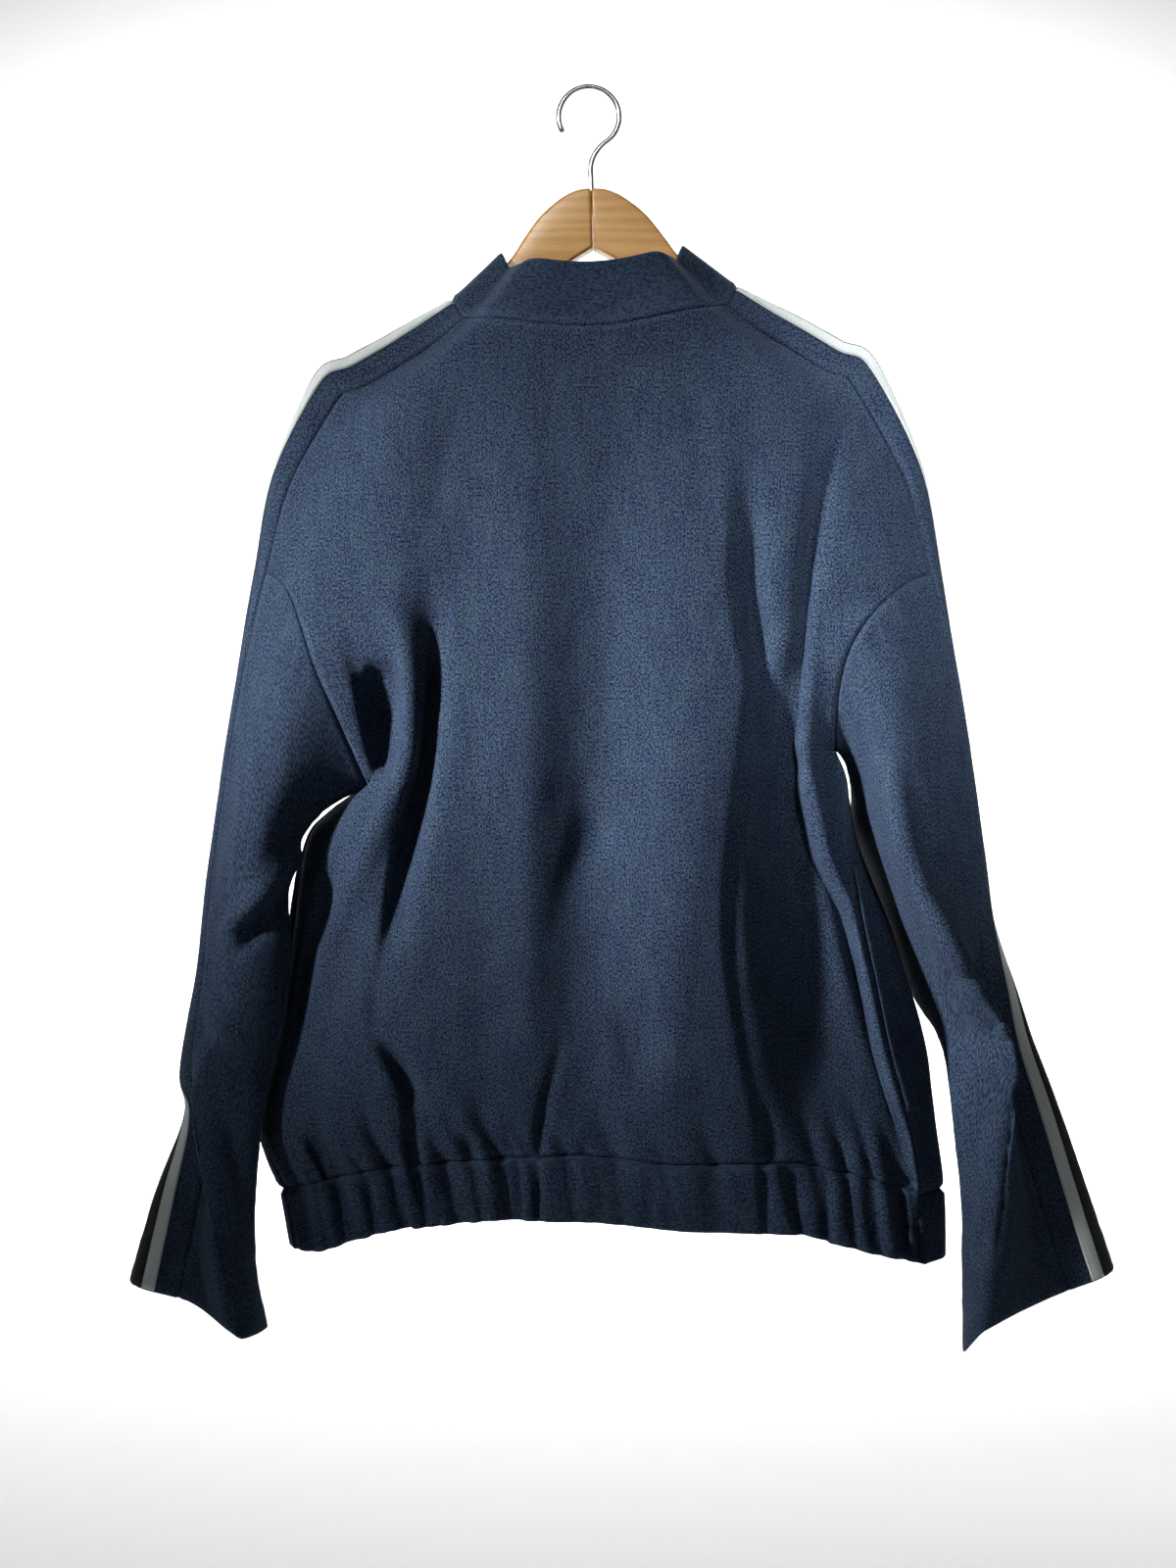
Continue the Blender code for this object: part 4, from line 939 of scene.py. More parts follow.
SHOULDER_PLACES = np.concatenate([[0, 0.03, 0.09], np.linspace(0.2, 6, 46)])
ARMHOLE_PLACES = spaced(30, 0.011)
ARMHOLE_STEPS = 240
SIDE_PLACES = np.concatenate([np.linspace(0, 5.92, 76)[1:], [5.97, 6.0]])
BAND_PLACES = np.array((0, 0.03, 0.09, 0.17, 0.26, 0.36, 0.46, 0.56, 0.66, 0.76, 0.85, 0.92, 0.97, 1))
COLLAR_PLACES = (0, 0.03, 0.08, 0.15, 0.25, 0.35, 0.45, 0.55, 0.65, 0.75, 0.84, 0.91, 0.96, 0.99, 1.0)
SLEEVE_PLACES = np.concatenate([[0, 0.03, 0.08], np.linspace(0.16, 10.97, 128), [11.0]])
BACK_PLACES = spaced(186, 0.003)
FRONT_PLACES = spaced(66, 0.0055)
HALF_REACH = np.array((1.5, 5, 8.5, 10, 12.5, 16, 20, 23.5, 26, 27))
STRIP_REACH = np.concatenate([-HALF_REACH[::-1], [0], HALF_REACH])


class JacketForm:
    """The form of the jacket: points of its seams, and of the rows of each piece."""

    def __init__(self) -> None:
        """Starts with nothing worked out yet."""
        self.armholes: dict[tuple[Side, Face], Array] = {}

    # ---- strip over the shoulder

    def strip_point(self, side: Side, row: float, reach: float) -> tuple[Array, Array]:
        """Finds a point of the strip.

        Args:
            side: Which sleeve.
            row: Place along the strip, 0 at the neck and 17 at the cuff.
            reach: Millimetres from the strip's middle, positive to the front.

        Returns:
            The point and the direction in which the strip leaves it.
        """
        rows = STRIPS[side]
        places = range(len(rows))
        here = StripRow(*table_at(rows, places, row))
        ends = (max(row - ROW_STEP, 0), min(row + ROW_STEP, CUFF_ROW))
        before, after = (table_at(rows, places, at)[:3] for at in ends)
        along = unit(after - before)
        outward = unit(np.cross(along, (0, 1, 0))) * side.sign
        forward = unit(np.array((0, 1, 0)) - along * along[1])
        turn = math.radians(here.face)
        normal = math.cos(turn) * outward - math.sin(turn) * forward
        across = math.cos(turn) * forward + math.sin(turn) * outward
        bend = here.bend_front if reach > 0 else here.bend_back
        curved = min(abs(reach), here.radius * math.radians(bend))
        angle = curved / here.radius
        flat = abs(reach) - curved
        sideways = here.radius * math.sin(angle) + flat * math.cos(angle)
        down = here.radius * (1 - math.cos(angle)) + flat * math.sin(angle)
        sign = 1 if reach > 0 else -1
        point = np.array(here[:3]) + sign * sideways * across - down * normal
        return point, sign * math.cos(angle) * across - math.sin(angle) * normal

    # ---- sleeves

    def sleeve_line(self, side: Side, row: float, face: Face, places: Array) -> Array:
        """Points of a sleeve row, from the edge of the strip to the underarm seam."""
        rows = SLEEVES[side]
        here = SleeveRow(*table_at(rows, [ARMHOLE_ROW + k for k in range(len(rows))], row))
        front = face is Face.FRONT
        start, away = self.strip_point(side, row, STRIP_HALF if front else -STRIP_HALF)
        crest = np.array(here[6:9] if front else here[0:3])
        inner = np.array(here[3:6])
        middle = unit(inner - start)
        tuck = math.radians(here.tuck)
        arrive = np.array((0, math.cos(tuck), 0)) - math.sin(tuck) * middle
        if front:
            arrive = np.array((0, -1.0, 0)) + 0.8 * middle
        directions = (away, middle, unit(arrive))
        softness = (0.8, 1.0 if front else here.soft, 0.8)
        return curve_through((start, crest, inner), directions, softness, places)

    # ---- body

    def edge_point(self, side: Side, row: float, face: Face) -> Array:
        """Point where a body row ends: on the strip, then the armhole, then the side seam."""
        if row <= ARMHOLE_ROW:
            return self.strip_point(side, row, STRIP_HALF if face is Face.FRONT else -STRIP_HALF)[0]
        if row <= ARMPIT_ROW:
            key = (side, face)
            if key not in self.armholes:
                places = np.linspace(0, 1, ARMHOLE_STEPS + 1)
                self.armholes[key] = self.sleeve_line(side, ARMHOLE_ROW, face, places)
            place = (row - ARMHOLE_ROW) / (ARMPIT_ROW - ARMHOLE_ROW) * ARMHOLE_STEPS
            line = self.armholes[key]
            low = min(int(place), ARMHOLE_STEPS - 1)
            return line[low] + (place - low) * (line[low + 1] - line[low])
        return self.side_at(side, row)[1:4]

    def side_at(self, side: Side, row: float) -> Array:
        """The side seam's table at a row."""
        return table_at(SIDES[side], [entry.row for entry in SIDES[side]], row)

    def body_row(self, row: float) -> BodyRow:
        """The body's table at a row."""
        return BodyRow(*table_at(BODY, [entry.row for entry in BODY], row))

    def plain_back_line(self, row: float, places: Array) -> Array:
        """Points of a row of the back from its left to its right edge, with no folds."""
        here = self.body_row(row)
        left = self.edge_point(Side.LEFT, row, Face.BACK)
        right = self.edge_point(Side.RIGHT, row, Face.BACK)
        towards = unit(right - left)
        behind = np.array((0, -1.0, 0))
        width = right[0] - left[0]

        def inside(place: float, depth: float) -> Array:
            """A point at a share of the width, at a depth."""
            point = left + place * (right - left)
            return np.array((point[0], depth, point[2] - here.sag * math.sin(math.pi * place)))

        nodes = (
            left,
            inside(np.clip((-BLADE_X - left[0]) / width, *BLADE_LIMITS), here.back_left),
            inside(0.5, here.back_mid),
            inside(1 - np.clip((right[0] - BLADE_X) / width, *BLADE_LIMITS), here.back_right),
            right,
        )
        directions = (
            self.heading(here.heading_left, towards, behind),
            unit(unit(nodes[2] - nodes[1]) + 0.3 * unit(nodes[1] - nodes[0])),
            towards,
            unit(unit(nodes[3] - nodes[2]) + 0.3 * unit(nodes[4] - nodes[3])),
            self.heading(here.heading_right, towards, -behind),
        )
        return curve_through(nodes, directions, (0.9, 1, 1, 1, 0.9), places)

    def back_rest(self, row: float, places: Array) -> Array:
        """Points of a row of the back, its depth evened out with the rows near it."""
        line = self.plain_back_line(row, places)
        last = min(ARMPIT_ROW + 2 * max(row - ARMPIT_ROW, 0), HEM_ROW)
        rows = [float(np.clip(row + step, 0, last)) for step in BACK_EASING]
        near = [self.plain_back_line(other, places)[:, 1] for other in rows]
        line[:, 1] += from_ends(places, DEPTH_FADE) * (np.mean(near, axis=0) - line[:, 1])
        line[:, 2] += self.rise(row, places)
        return line

    def with_back_folds(self, row: float, places: Array, line: Array) -> Array:
        """A row of the back with its folds and gathers."""
        made = line.copy()
        made[:, 1] += from_ends(places, FOLD_FADE) * self.folds_at(BACK_FOLDS, line)
        made[:, 1] += self.gathers_at(row, places)
        close = from_ends(places, HOLLOW_FADE)
        for hollow in BACK_HOLLOWS:
            made[:, 1] += close * hollow.depth_at(line[:, (0, 2)])
        return made

    def back_line(self, row: float, places: Array) -> Array:
        """Points of a row of the back with its folds and gathers."""
        return self.with_back_folds(row, places, self.back_rest(row, places))

    def front_rest(self, side: Side, row: float, places: Array) -> Array:
        """Points of a row of one front, from its outer edge to the zip, with no folds."""
        here = self.body_row(row)
        left = side is Side.LEFT
        outer = self.edge_point(side, row, Face.FRONT)
        depth = here.front_left if left else here.front_right
        angle = here.front_heading_left if left else here.front_heading_right
        end = np.array((side.sign * ZIP_HALF, here.zip_y, here.zip_z))
        towards = unit(end - outer)
        ahead = np.array((0, 1.0, 0))
        middle = outer + 0.45 * (end - outer)
        middle = np.array((middle[0], depth, middle[2] - here.front_bow))
        if angle < 0:
            turn = math.radians(angle)
            start = unit(math.cos(turn) * ahead + math.sin(turn) * towards)
        else:
            start = self.heading(angle, towards, ahead)
        nodes = [outer, middle, end]
        directions = [start, unit(end - middle + 0.4 * towards), np.array((-side.sign, 0, 0))]
        softness = [1, 1, 0.8]
        past = self.side_at(side, row)[4] if row > ARMPIT_ROW else 0
        if past > 0.5:
            bulge = outer + (side.sign * past, 0, 0)
            bulge[1] = max(BULGE_Y, outer[1] + past)
            nodes.insert(1, bulge)
            directions.insert(1, ahead)
            softness.insert(1, 1)
        return curve_through(nodes, directions, softness, places)

    def with_front_folds(self, side: Side, row: float, places: Array, line: Array) -> Array:
        """A row of one front with its folds and gathers."""
        made = line.copy()
        window = smooth_step(np.minimum((places - SIDE_KEPT) / FRONT_FADE, (1 - places) / FRONT_FADE))
        made[:, 1] -= window * self.folds_at(FRONT_FOLDS, line)
        made[:, 1] -= window * FRONT_WAVE * np.sin(places * 6 * math.pi) * self.waist_pull(row)
        made[:, 1] -= window * self.front_gathers_at(side, row, places)
        for hollow in FRONT_HOLLOWS:
            made[:, 1] -= window * hollow.depth_at(line[:, (0, 2)])
        return made

    def front_line(self, side: Side, row: float, places: Array) -> Array:
        """Points of a row of one front with its folds and gathers."""
        return self.with_front_folds(side, row, places, self.front_rest(side, row, places))

    @staticmethod
    def heading(degrees: float, towards: Array, outwards: Array) -> Array:
        """Direction that leaves an edge at an angle from towards, turned to outwards."""
        turn = math.radians(degrees)
        return math.cos(turn) * towards + math.sin(turn) * outwards

    @staticmethod
    def rise(row: float, places: Array) -> Array:
        """How far the seam at each place across the back stands above a straight line."""
        waist = np.interp(places, WAIST_PLACES, WAIST_RISE)
        hem = np.interp(places, WAIST_PLACES, HEM_RISE)
        above = waist * smooth_step((row - RISE_FROM) / (WAIST_ROW - RISE_FROM))
        return np.where(row <= WAIST_ROW, above, waist + (hem - waist) * (row - WAIST_ROW))

    @staticmethod
    def waist_pull(row: float) -> float:
        """How strongly the broad gathers show at a row."""
        above = smooth_step((row - GATHERS_FROM) / (WAIST_ROW - GATHERS_FROM))
        return float(above * (1 - 0.35 * smooth_step(row - WAIST_ROW)))

    def gathers_at(self, row: float, places: Array) -> Array:
        """Forward push of the back's gathers: the broad ones, and the fine ones that run in them."""
        push = np.zeros_like(places)
        for middle, half, depth in BACK_GATHERS:
            push += depth * bell(places - middle, half)
        push *= self.waist_pull(row)
        for pleat in WAIST_PLEATS:
            push += pleat.push(row, places)
        return push * from_ends(places, GATHER_FADE)

    def front_gathers_at(self, side: Side, row: float, places: Array) -> Array:
        """Inward push of one front's fine gathers."""
        push = np.zeros_like(places)
        for k in range(FRONT_GATHERS):
            middle = 0.1 + FRONT_GATHER_PITCH * k + 0.012 * math.sin(7.0 * k + side.sign)
            height = 2.8 + 1.6 * math.sin(3.3 * k + 2.0 * side.sign)
            up = 1.8 + 0.8 * math.sin(5.1 * k)
            push += Pleat(middle, FRONT_GATHER_HALF, height, up, 0.9).push(row, places)
        return push

    @staticmethod
    def folds_at(folds: Iterable[Fold], line: Array) -> Array:
        """Depth of the folds at the points of a row."""
        depth = np.zeros(len(line))
        t = np.linspace(0, 1, 21)[:, None]
        for fold in folds:
            start, middle, end = (np.array(p, float) for p in (fold.start, fold.middle, fold.end))
            pull = 2 * middle - 0.5 * (start + end)
            route = (1 - t) ** 2 * start + 2 * t * (1 - t) * pull + t * t * end
            away, place = distance_to(route, line[:, (0, 2)])
            height = np.interp(place, (0, 0.5, 1), (fold.depth_start, fold.depth_middle, fold.depth_end))
            depth += height * bell(away, fold.width)
        return depth

    # ---- grids

    def strip_grid(self, side: Side) -> Array:
        """The strip from the neck to the cuff."""
        rows = np.concatenate([SHOULDER_PLACES, ARMHOLE_ROW + SLEEVE_PLACES[1:]])
        return np.array([[self.strip_point(side, row, reach)[0] for reach in STRIP_REACH] for row in rows])

    def sleeve_grid(self, side: Side, face: Face) -> Array:
        """One half of a sleeve, from the armhole to the cuff."""
        rows = ARMHOLE_ROW + SLEEVE_PLACES
        return np.array([self.sleeve_line(side, row, face, ARMHOLE_PLACES) for row in rows])

    def body_rows(self) -> Array:
        """Rows of the back and of the fronts, from the neck to the waist seam."""
        armhole = ARMHOLE_ROW + ARMHOLE_PLACES[1:] * (ARMPIT_ROW - ARMHOLE_ROW)
        return np.concatenate([SHOULDER_PLACES, armhole, ARMPIT_ROW + SIDE_PLACES])

    def back_grid(self) -> Array:
        """The back, from the neck to the waist seam."""
        rows = self.body_rows()
        rest = np.array([self.back_rest(row, BACK_PLACES) for row in rows])
        rest = evened(rest, from_ends(BACK_PLACES, FOLD_FADE), BACK_EVENING)
        return np.array([self.with_back_folds(row, BACK_PLACES, line) for row, line in zip(rows, rest)])

    def front_grid(self, side: Side) -> Array:
        """One front, from the neck to the waist seam."""
        rows = self.body_rows()
        rest = np.array([self.front_rest(side, row, FRONT_PLACES) for row in rows])
        inner = smooth_step(np.minimum(FRONT_PLACES / SIDE_FADE, (1 - FRONT_PLACES) / FRONT_FADE))
        rest = evened(rest, inner, FRONT_EVENING)
        lines = zip(rows, rest)
        return np.array([self.with_front_folds(side, row, FRONT_PLACES, line) for row, line in lines])

    def band_grid(self) -> Array:
        """The waistband, from the left edge of the zip round the back to the right edge."""
        rows = []
        for row in WAIST_ROW + BAND_PLACES:
            left = self.front_line(Side.LEFT, row, FRONT_PLACES)[::-1]
            back = self.back_line(row, BACK_PLACES)
            right = self.front_line(Side.RIGHT, row, FRONT_PLACES)
            rows.append(np.concatenate([left, back[1:], right[1:]]))
        return np.array(rows)

    def neck_line(self) -> Array:
        """The neck seam, from the left edge of the zip round the back to the right edge."""
        left, right = ([self.strip_point(side, 0, reach)[0] for reach in STRIP_REACH] for side in Side)
        return np.concatenate(
            [
                self.front_line(Side.LEFT, 0, FRONT_PLACES)[::-1],
                left[-2::-1],
                self.back_line(0, BACK_PLACES)[1:],
                right[1:],
                self.front_line(Side.RIGHT, 0, FRONT_PLACES)[1:],
            ]
        )

    def collar_grid(self) -> Array:
        """The stand collar: the neck seam, raised and drawn in towards the neck."""
        base = self.neck_line()
        middle = (base[:, 0].max() + base[:, 0].min()) / 2
        rows = []
        for height in COLLAR_PLACES:
            points = base.copy()
            lean = np.where(base[:, 0] < middle, *COLLAR_LEAN)
            beside = smooth_step(np.abs(base[:, 0] - middle) / COLLAR_LEAN_REACH)
            narrow = height * (COLLAR_NARROWING + lean * beside)
            points[:, 0] = middle + (base[:, 0] - middle) * (1 - narrow)
            points[:, 1] = base[:, 1] * (1 - COLLAR_FLATTENING * height)
            shift = np.linalg.norm(points[:, :2] - base[:, :2], axis=1)
            points[:, 2] += np.sqrt(np.maximum((COLLAR_HEIGHT * height) ** 2 - shift**2, 0))
            rows.append(points)
        return np.array(rows)


# ---------------------------------------------------------------- cloth


def wrinkled(points: Array, size: float, seed: float) -> Array:
    """Smooth random heights from -1 to 1 at points, about size millimetres apart."""
    flat = points.reshape(-1, 3) / size + seed
    return np.array([noise.noise(p) for p in flat.tolist()]).reshape(points.shape[:-1])


def grid_normals(grid: Array, flip: bool) -> Array:
    """Outward normals of a grid whose rows run down; flip says that its columns run the other way."""
    normals = np.cross(np.gradient(grid, axis=0), np.gradient(grid, axis=1))
    return unit_rows(normals) * (-1 if flip else 1)


@dataclass
class Panel:
    """A cut piece of cloth.

    Attributes:
        name: Name of the piece.
        grid: Its points, row by row from the top.
        flip: Whether its columns run against the outward normals.
        sewn: Its sewn edges; the others are folded and so are rounded.
        creases: What was laid on it.
        wrinkle: Height of the fine uneven wrinkles.
        wall: Thickness.
        grain: From where its width is measured.
        gathered: The edge that lies on the waist seam.
        normals: Outward normals.
    """

    name: str
    grid: Array
    flip: bool
    sewn: tuple[Edge, ...]
    creases: Sequence[Crease] = ()
    wrinkle: float = 0.45
    wall: float = CLOTH_WALL
    grain: Grain = Grain.FIRST_EDGE
    gathered: Edge | None = None
    normals: Array = field(init=False)

    def __post_init__(self) -> None:
        """Works out the normals."""
        self.normals = grid_normals(self.grid, self.flip)

    def folded(self) -> list[Edge]:
        """Its folded edges."""
        return [edge for edge in Edge if edge not in self.sewn]

    def border(self) -> Iterable[tuple[int, int]]:
        """Row and column of every point on an edge."""
        rows, columns = self.grid.shape[:2]
        for k in range(columns):
            yield 0, k
            yield rows - 1, k
        for j in range(1, rows - 1):
            yield j, 0
            yield j, columns - 1

    def distance_from(self, edge: Edge) -> Array:
        """Length of cloth from one edge to each point, along the grid."""
        axis = 0 if edge in (Edge.TOP, Edge.BOTTOM) else 1
        steps = np.linalg.norm(np.diff(self.grid, axis=axis), axis=2)
        pad = [(0, 0), (0, 0)]
        pad[axis] = (1, 0)
        along = np.cumsum(np.pad(steps, pad), axis=axis)
        if edge in (Edge.TOP, Edge.FIRST):
            return along
        total = along[-1:, :] if axis == 0 else along[:, -1:]
        return total - along

    def nearest_of(self, edges: Iterable[Edge]) -> Array:
        """Length of cloth from the nearest of several edges, or FAR if there are none."""
        found = [self.distance_from(edge) for edge in edges]
        return np.min(found, axis=0) if found else np.full(self.grid.shape[:2], FAR)

    def edge_line(self, edge: Edge) -> Array:
        """For each point, the point of an edge that its own row or column starts at."""
        line = {
            Edge.TOP: self.grid[:1],
            Edge.BOTTOM: self.grid[-1:],
            Edge.FIRST: self.grid[:, :1],
            Edge.LAST: self.grid[:, -1:],
        }[edge]
        return np.broadcast_to(line, self.grid.shape)

    def relief(self) -> Array:
        """Outward displacement: creases, wrinkles, puckers beside seams, and the dip of each seam."""
        sewn = self.nearest_of(self.sewn)
        plane = self.grid[..., (0, 2)].reshape(-1, 2)
        height = np.zeros(self.grid.shape[:2])
        for crease in self.creases:
            height -= crease.depth_at(plane).reshape(height.shape)
        height *= smooth_step(sewn / CREASE_FADE)
        stretched = self.grid * WRINKLE_STRETCH
        uneven = wrinkled(stretched, *BROAD_WRINKLES) + 0.5 * wrinkled(stretched, *FINE_WRINKLES)
        height += self.wrinkle * uneven * smooth_step(sewn / WRINKLE_FADE)
        for edge in self.sewn:
            away = self.distance_from(edge)
            near = np.where(away <= sewn + 0.01, 1.0, 0.0)
            ripple = wrinkled(self.edge_line(edge), *PUCKERS)
            beside = bell(away - PUCKER_AWAY, PUCKER_WIDTH)
            height += near * PUCKER_HEIGHT * ripple * beside * smooth_step(away / 3)
        height -= SEAM_DEPTH * bell(sewn, SEAM_REACH)
        if self.gathered:
            height -= WAIST_DIP * bell(self.distance_from(self.gathered), WAIST_REACH)
        return height + SEAM_RIDGE * bell(sewn - RIDGE_AWAY, RIDGE_WIDTH)

    def shape(self) -> None:
        """Moves the points by the relief."""
        self.grid = self.grid + self.normals * self.relief()[..., None]
        self.normals = grid_normals(self.grid, self.flip)

    def closed_up(self) -> tuple[Array, Array]:
        """Outer and inner points of the wall; folded edges are rounded and sewn ones stand apart."""
        away = np.minimum(self.nearest_of(self.folded()) / (0.75 * self.wall), 1)
        half = self.wall / 2 * np.maximum(np.sqrt(1 - (1 - away) ** 2), 0.12)
        grid = self.grid.copy()
        for edge in self.sewn:
            axis = 0 if edge in (Edge.TOP, Edge.BOTTOM) else 1
            moved = np.moveaxis(grid, axis, 0)
            here, inner = (0, 1) if edge in (Edge.TOP, Edge.FIRST) else (-1, -2)
            moved[here] += unit_rows(moved[inner] - moved[here]) * SEAM_GAP / 2
        return grid + self.normals * half[..., None], grid - self.normals * half[..., None]

    def fade(self) -> Array:
        """Wear from 0 to 1, in patches along seams and folded edges."""
        sewn = self.nearest_of(self.sewn)
        folded = self.nearest_of(self.folded())
        patch = 0.5 + 0.5 * wrinkled(self.grid, *WORN_PATCHES)
        return np.clip(0.8 * patch * bell(sewn - 3.0, 1.5) + patch * bell(folded, 1.6), 0, 1)

    def flat_places(self) -> Array:
        """Places on the flat cloth, in metres; the grain of the body hangs straight down."""
        across = self.distance_from(Edge.FIRST)
        if self.grain is Grain.FIRST_EDGE:
            return np.stack([across, -self.distance_from(Edge.TOP)], axis=-1) * MM
        if self.grain is Grain.LAST_EDGE:
            start = across[:, -1]
        else:
            quarter = across.shape[1] // 4
            inner = slice(quarter, -quarter)
            start = [np.interp(0, row, far) for row, far in zip(self.grid[:, inner, 0], across[:, inner])]
        return np.stack([across - np.array(start)[:, None], self.grid[..., 2]], axis=-1) * MM

    def build(self, finish: Material) -> Object:
        """Makes the object: a closed wall with its flat places and its wear."""
        outer, inner = self.closed_up()
        rows, columns = self.grid.shape[:2]
        count = rows * columns
        index = np.arange(count).reshape(rows, columns)
        a, b, c, d = index[:-1, :-1], index[1:, :-1], index[1:, 1:], index[:-1, 1:]
        front = np.stack([a, b, c, d], axis=-1).reshape(-1, 4)
        back = np.stack([a, d, c, b], axis=-1).reshape(-1, 4) + count
        loop = np.concatenate([index[0, :-1], index[:-1, -1], index[-1, :0:-1], index[:0:-1, 0]])
        after = np.roll(loop, -1)
        rim = np.stack([loop, after, after + count, loop + count], axis=-1)
        faces = np.concatenate([front, back, rim])
        if self.flip:
            faces = faces[:, ::-1]
        points = np.concatenate([outer.reshape(-1, 3), inner.reshape(-1, 3)]) * MM
        made = mesh_object(self.name + "_cloth", points, faces.tolist(), finish)
        flat = np.tile(self.flat_places().reshape(-1, 2), (2, 1))
        corners = np.empty(len(made.data.loops), int)
        made.data.loops.foreach_get("vertex_index", corners)
        made.data.uv_layers.new(name="flat").data.foreach_set("uv", flat[corners].ravel())
        wear = made.data.attributes.new("wear", "FLOAT", "POINT")
        wear.data.foreach_set("value", np.tile(self.fade().ravel(), 2))
        return made


def linked(name: str, data: bpy.types.ID) -> Object:
    """A new object of the scene."""
    made = bpy.data.objects.new(name, data)
    bpy.context.scene.collection.objects.link(made)
    return made


def mesh_object(name: str, points: Array, faces: list[Sequence[int]], finish: Material) -> Object:
    """A smooth mesh object from points in metres and faces of point numbers."""
    data = bpy.data.meshes.new(name)
    data.from_pydata(points.tolist(), [], faces)
    data.materials.append(finish)
    data.shade_smooth()
    return linked(name, data)


def settle(made: Object) -> None:
    """Puts the smooth mesh that an object's modifiers make in place of its own."""
    bpy.context.view_layer.update()
    graph = bpy.context.evaluated_depsgraph_get()
    plain = bpy.data.meshes.new_from_object(made.evaluated_get(graph))
    made.modifiers.clear()
    made.data = plain
    plain.shade_smooth()


def ring_faces(rings: int, count: int) -> tuple[list[Sequence[int]], Array]:
    """Faces between rings of count points each, and the numbers of the points."""
    index = np.arange(rings * count).reshape(-1, count)
    after = np.roll(index, -1, axis=1)
    faces = np.stack([index[:-1], index[1:], after[1:], after[:-1]], axis=-1)
    return faces.reshape(-1, 4).tolist(), index


def share_normals(panels: Sequence[Panel]) -> None:
    """Gives pieces that meet at a seam the same normals there."""
    places = [(n, j, k) for n, panel in enumerate(panels) for j, k in panel.border()]
    tree = kdtree.KDTree(len(places))
    for number, (n, j, k) in enumerate(places):
        tree.insert(panels[n].grid[j, k], number)
    tree.balance()
    made = []
    for n, j, k in places:
        near = [places[found[1]] for found in tree.find_range(panels[n].grid[j, k], 0.3)]
        made.append(unit(np.sum([panels[m].normals[row, column] for m, row, column in near], axis=0)))
    for (n, j, k), normal in zip(places, made):
        panels[n].normals[j, k] = normal


# ---------------------------------------------------------------- finishes


class Nodes:
    """Adds and joins nodes of a material."""

    def __init__(self, name: str) -> None:
        """Starts a material with a Principled shader."""
        self.material = bpy.data.materials.new(name)
        self.material.use_nodes = True
        self.tree = self.material.node_tree
        self.shader = self.tree.nodes["Principled BSDF"]

    def put(self, socket: Socket, value: Input) -> None:
        """Joins an output to an input, or sets the input."""
        if isinstance(value, Socket):
            self.tree.links.new(value, socket)
        else:
            socket.default_value = (*value, 1.0) if socket.type == "RGBA" else value

    def add(self, kind: str, inputs: dict[int | str, Input], **settings: str) -> bpy.types.NodeOutputs:
        """The outputs of a new node with its properties and its inputs set."""
        node = self.tree.nodes.new("ShaderNode" + kind)
        for key, setting in settings.items():
            setattr(node, key, setting)
        for key, value in inputs.items():
            self.put(node.inputs[key], value)
        return node.outputs

    def place(self, output: str) -> Socket:
        """Texture coordinates of the object."""
        return self.add("TexCoord", {})[output]

    def scaled(self, place: Socket, scale: Triple) -> Socket:
        """Coordinates times a scale."""
        return self.add("VectorMath", {0: place, 1: scale}, operation="MULTIPLY")[0]

    def speckle(self, place: Socket, scale: Triple, detail: float) -> Socket:
        """Noise from 0 to 1, with scale grains in a metre."""
        inputs = {"Scale": 1.0, "Detail": detail, "Vector": self.scaled(place, scale)}
        return self.add("TexNoise", inputs)["Fac"]

    def ribs(self, place: Socket, direction: Triple) -> Socket:
        """A wave from -1 to 1 that repeats once in each unit along a direction."""
        turns = tuple(2 * math.pi * part for part in direction)
        angle = self.add("VectorMath", {0: place, 1: turns}, operation="DOT_PRODUCT")["Value"]
        return self.maths("SINE", angle)

    def maths(self, operation: str, *terms: Input) -> Socket:
        """One arithmetic step."""
        return self.add("Math", dict(enumerate(terms)), operation=operation)[0]

    def eased(self, value: Socket, low: float, high: float, bottom: float = 0.0, top: float = 1.0) -> Socket:
        """A value moved from one range to another and held inside it."""
        ranges = {"From Min": low, "From Max": high, "To Min": bottom, "To Max": top}
        return self.add("MapRange", {"Value": value, **ranges})["Result"]

    def mixed(self, share: Input, low: Input, high: Input, blend: str = "MIX") -> Socket:
        """A colour between two, or their product."""
        return self.add("Mix", {0: share, 6: low, 7: high}, data_type="RGBA", blend_type=blend)[2]

    def relief(self, height: Socket, distance: float, strength: float) -> None:
        """Joins a bump to the shader; distance is in metres."""
        bump = self.add("Bump", {"Distance": distance, "Strength": strength, "Height": height})
        self.put(self.shader.inputs["Normal"], bump["Normal"])

    def finish(self, colour: Input, roughness: Input, others: dict[str, float]) -> Material:
        """Sets the inputs of the shader and gives the material."""
        for key, value in {"Base Color": colour, "Roughness": roughness, **others}.items():
            self.put(self.shader.inputs[key], value)
        return self.material


@dataclass(frozen=True)
class Finish:
    """A material that runs from one colour to another.

    Attributes:
        name: Name of the material.
        low: Colour of dyed threads, of clean metal and of pale wood, and of the painted shade in the valleys
            between ribs.
        high: Colour of worn threads, of marks on metal and of rings in wood, and of the painted highlight on
            the crowns of ribs.
        roughness: Roughness where it is cleanest.
    """

    name: str
    low: Triple
    high: Triple
    roughness: float


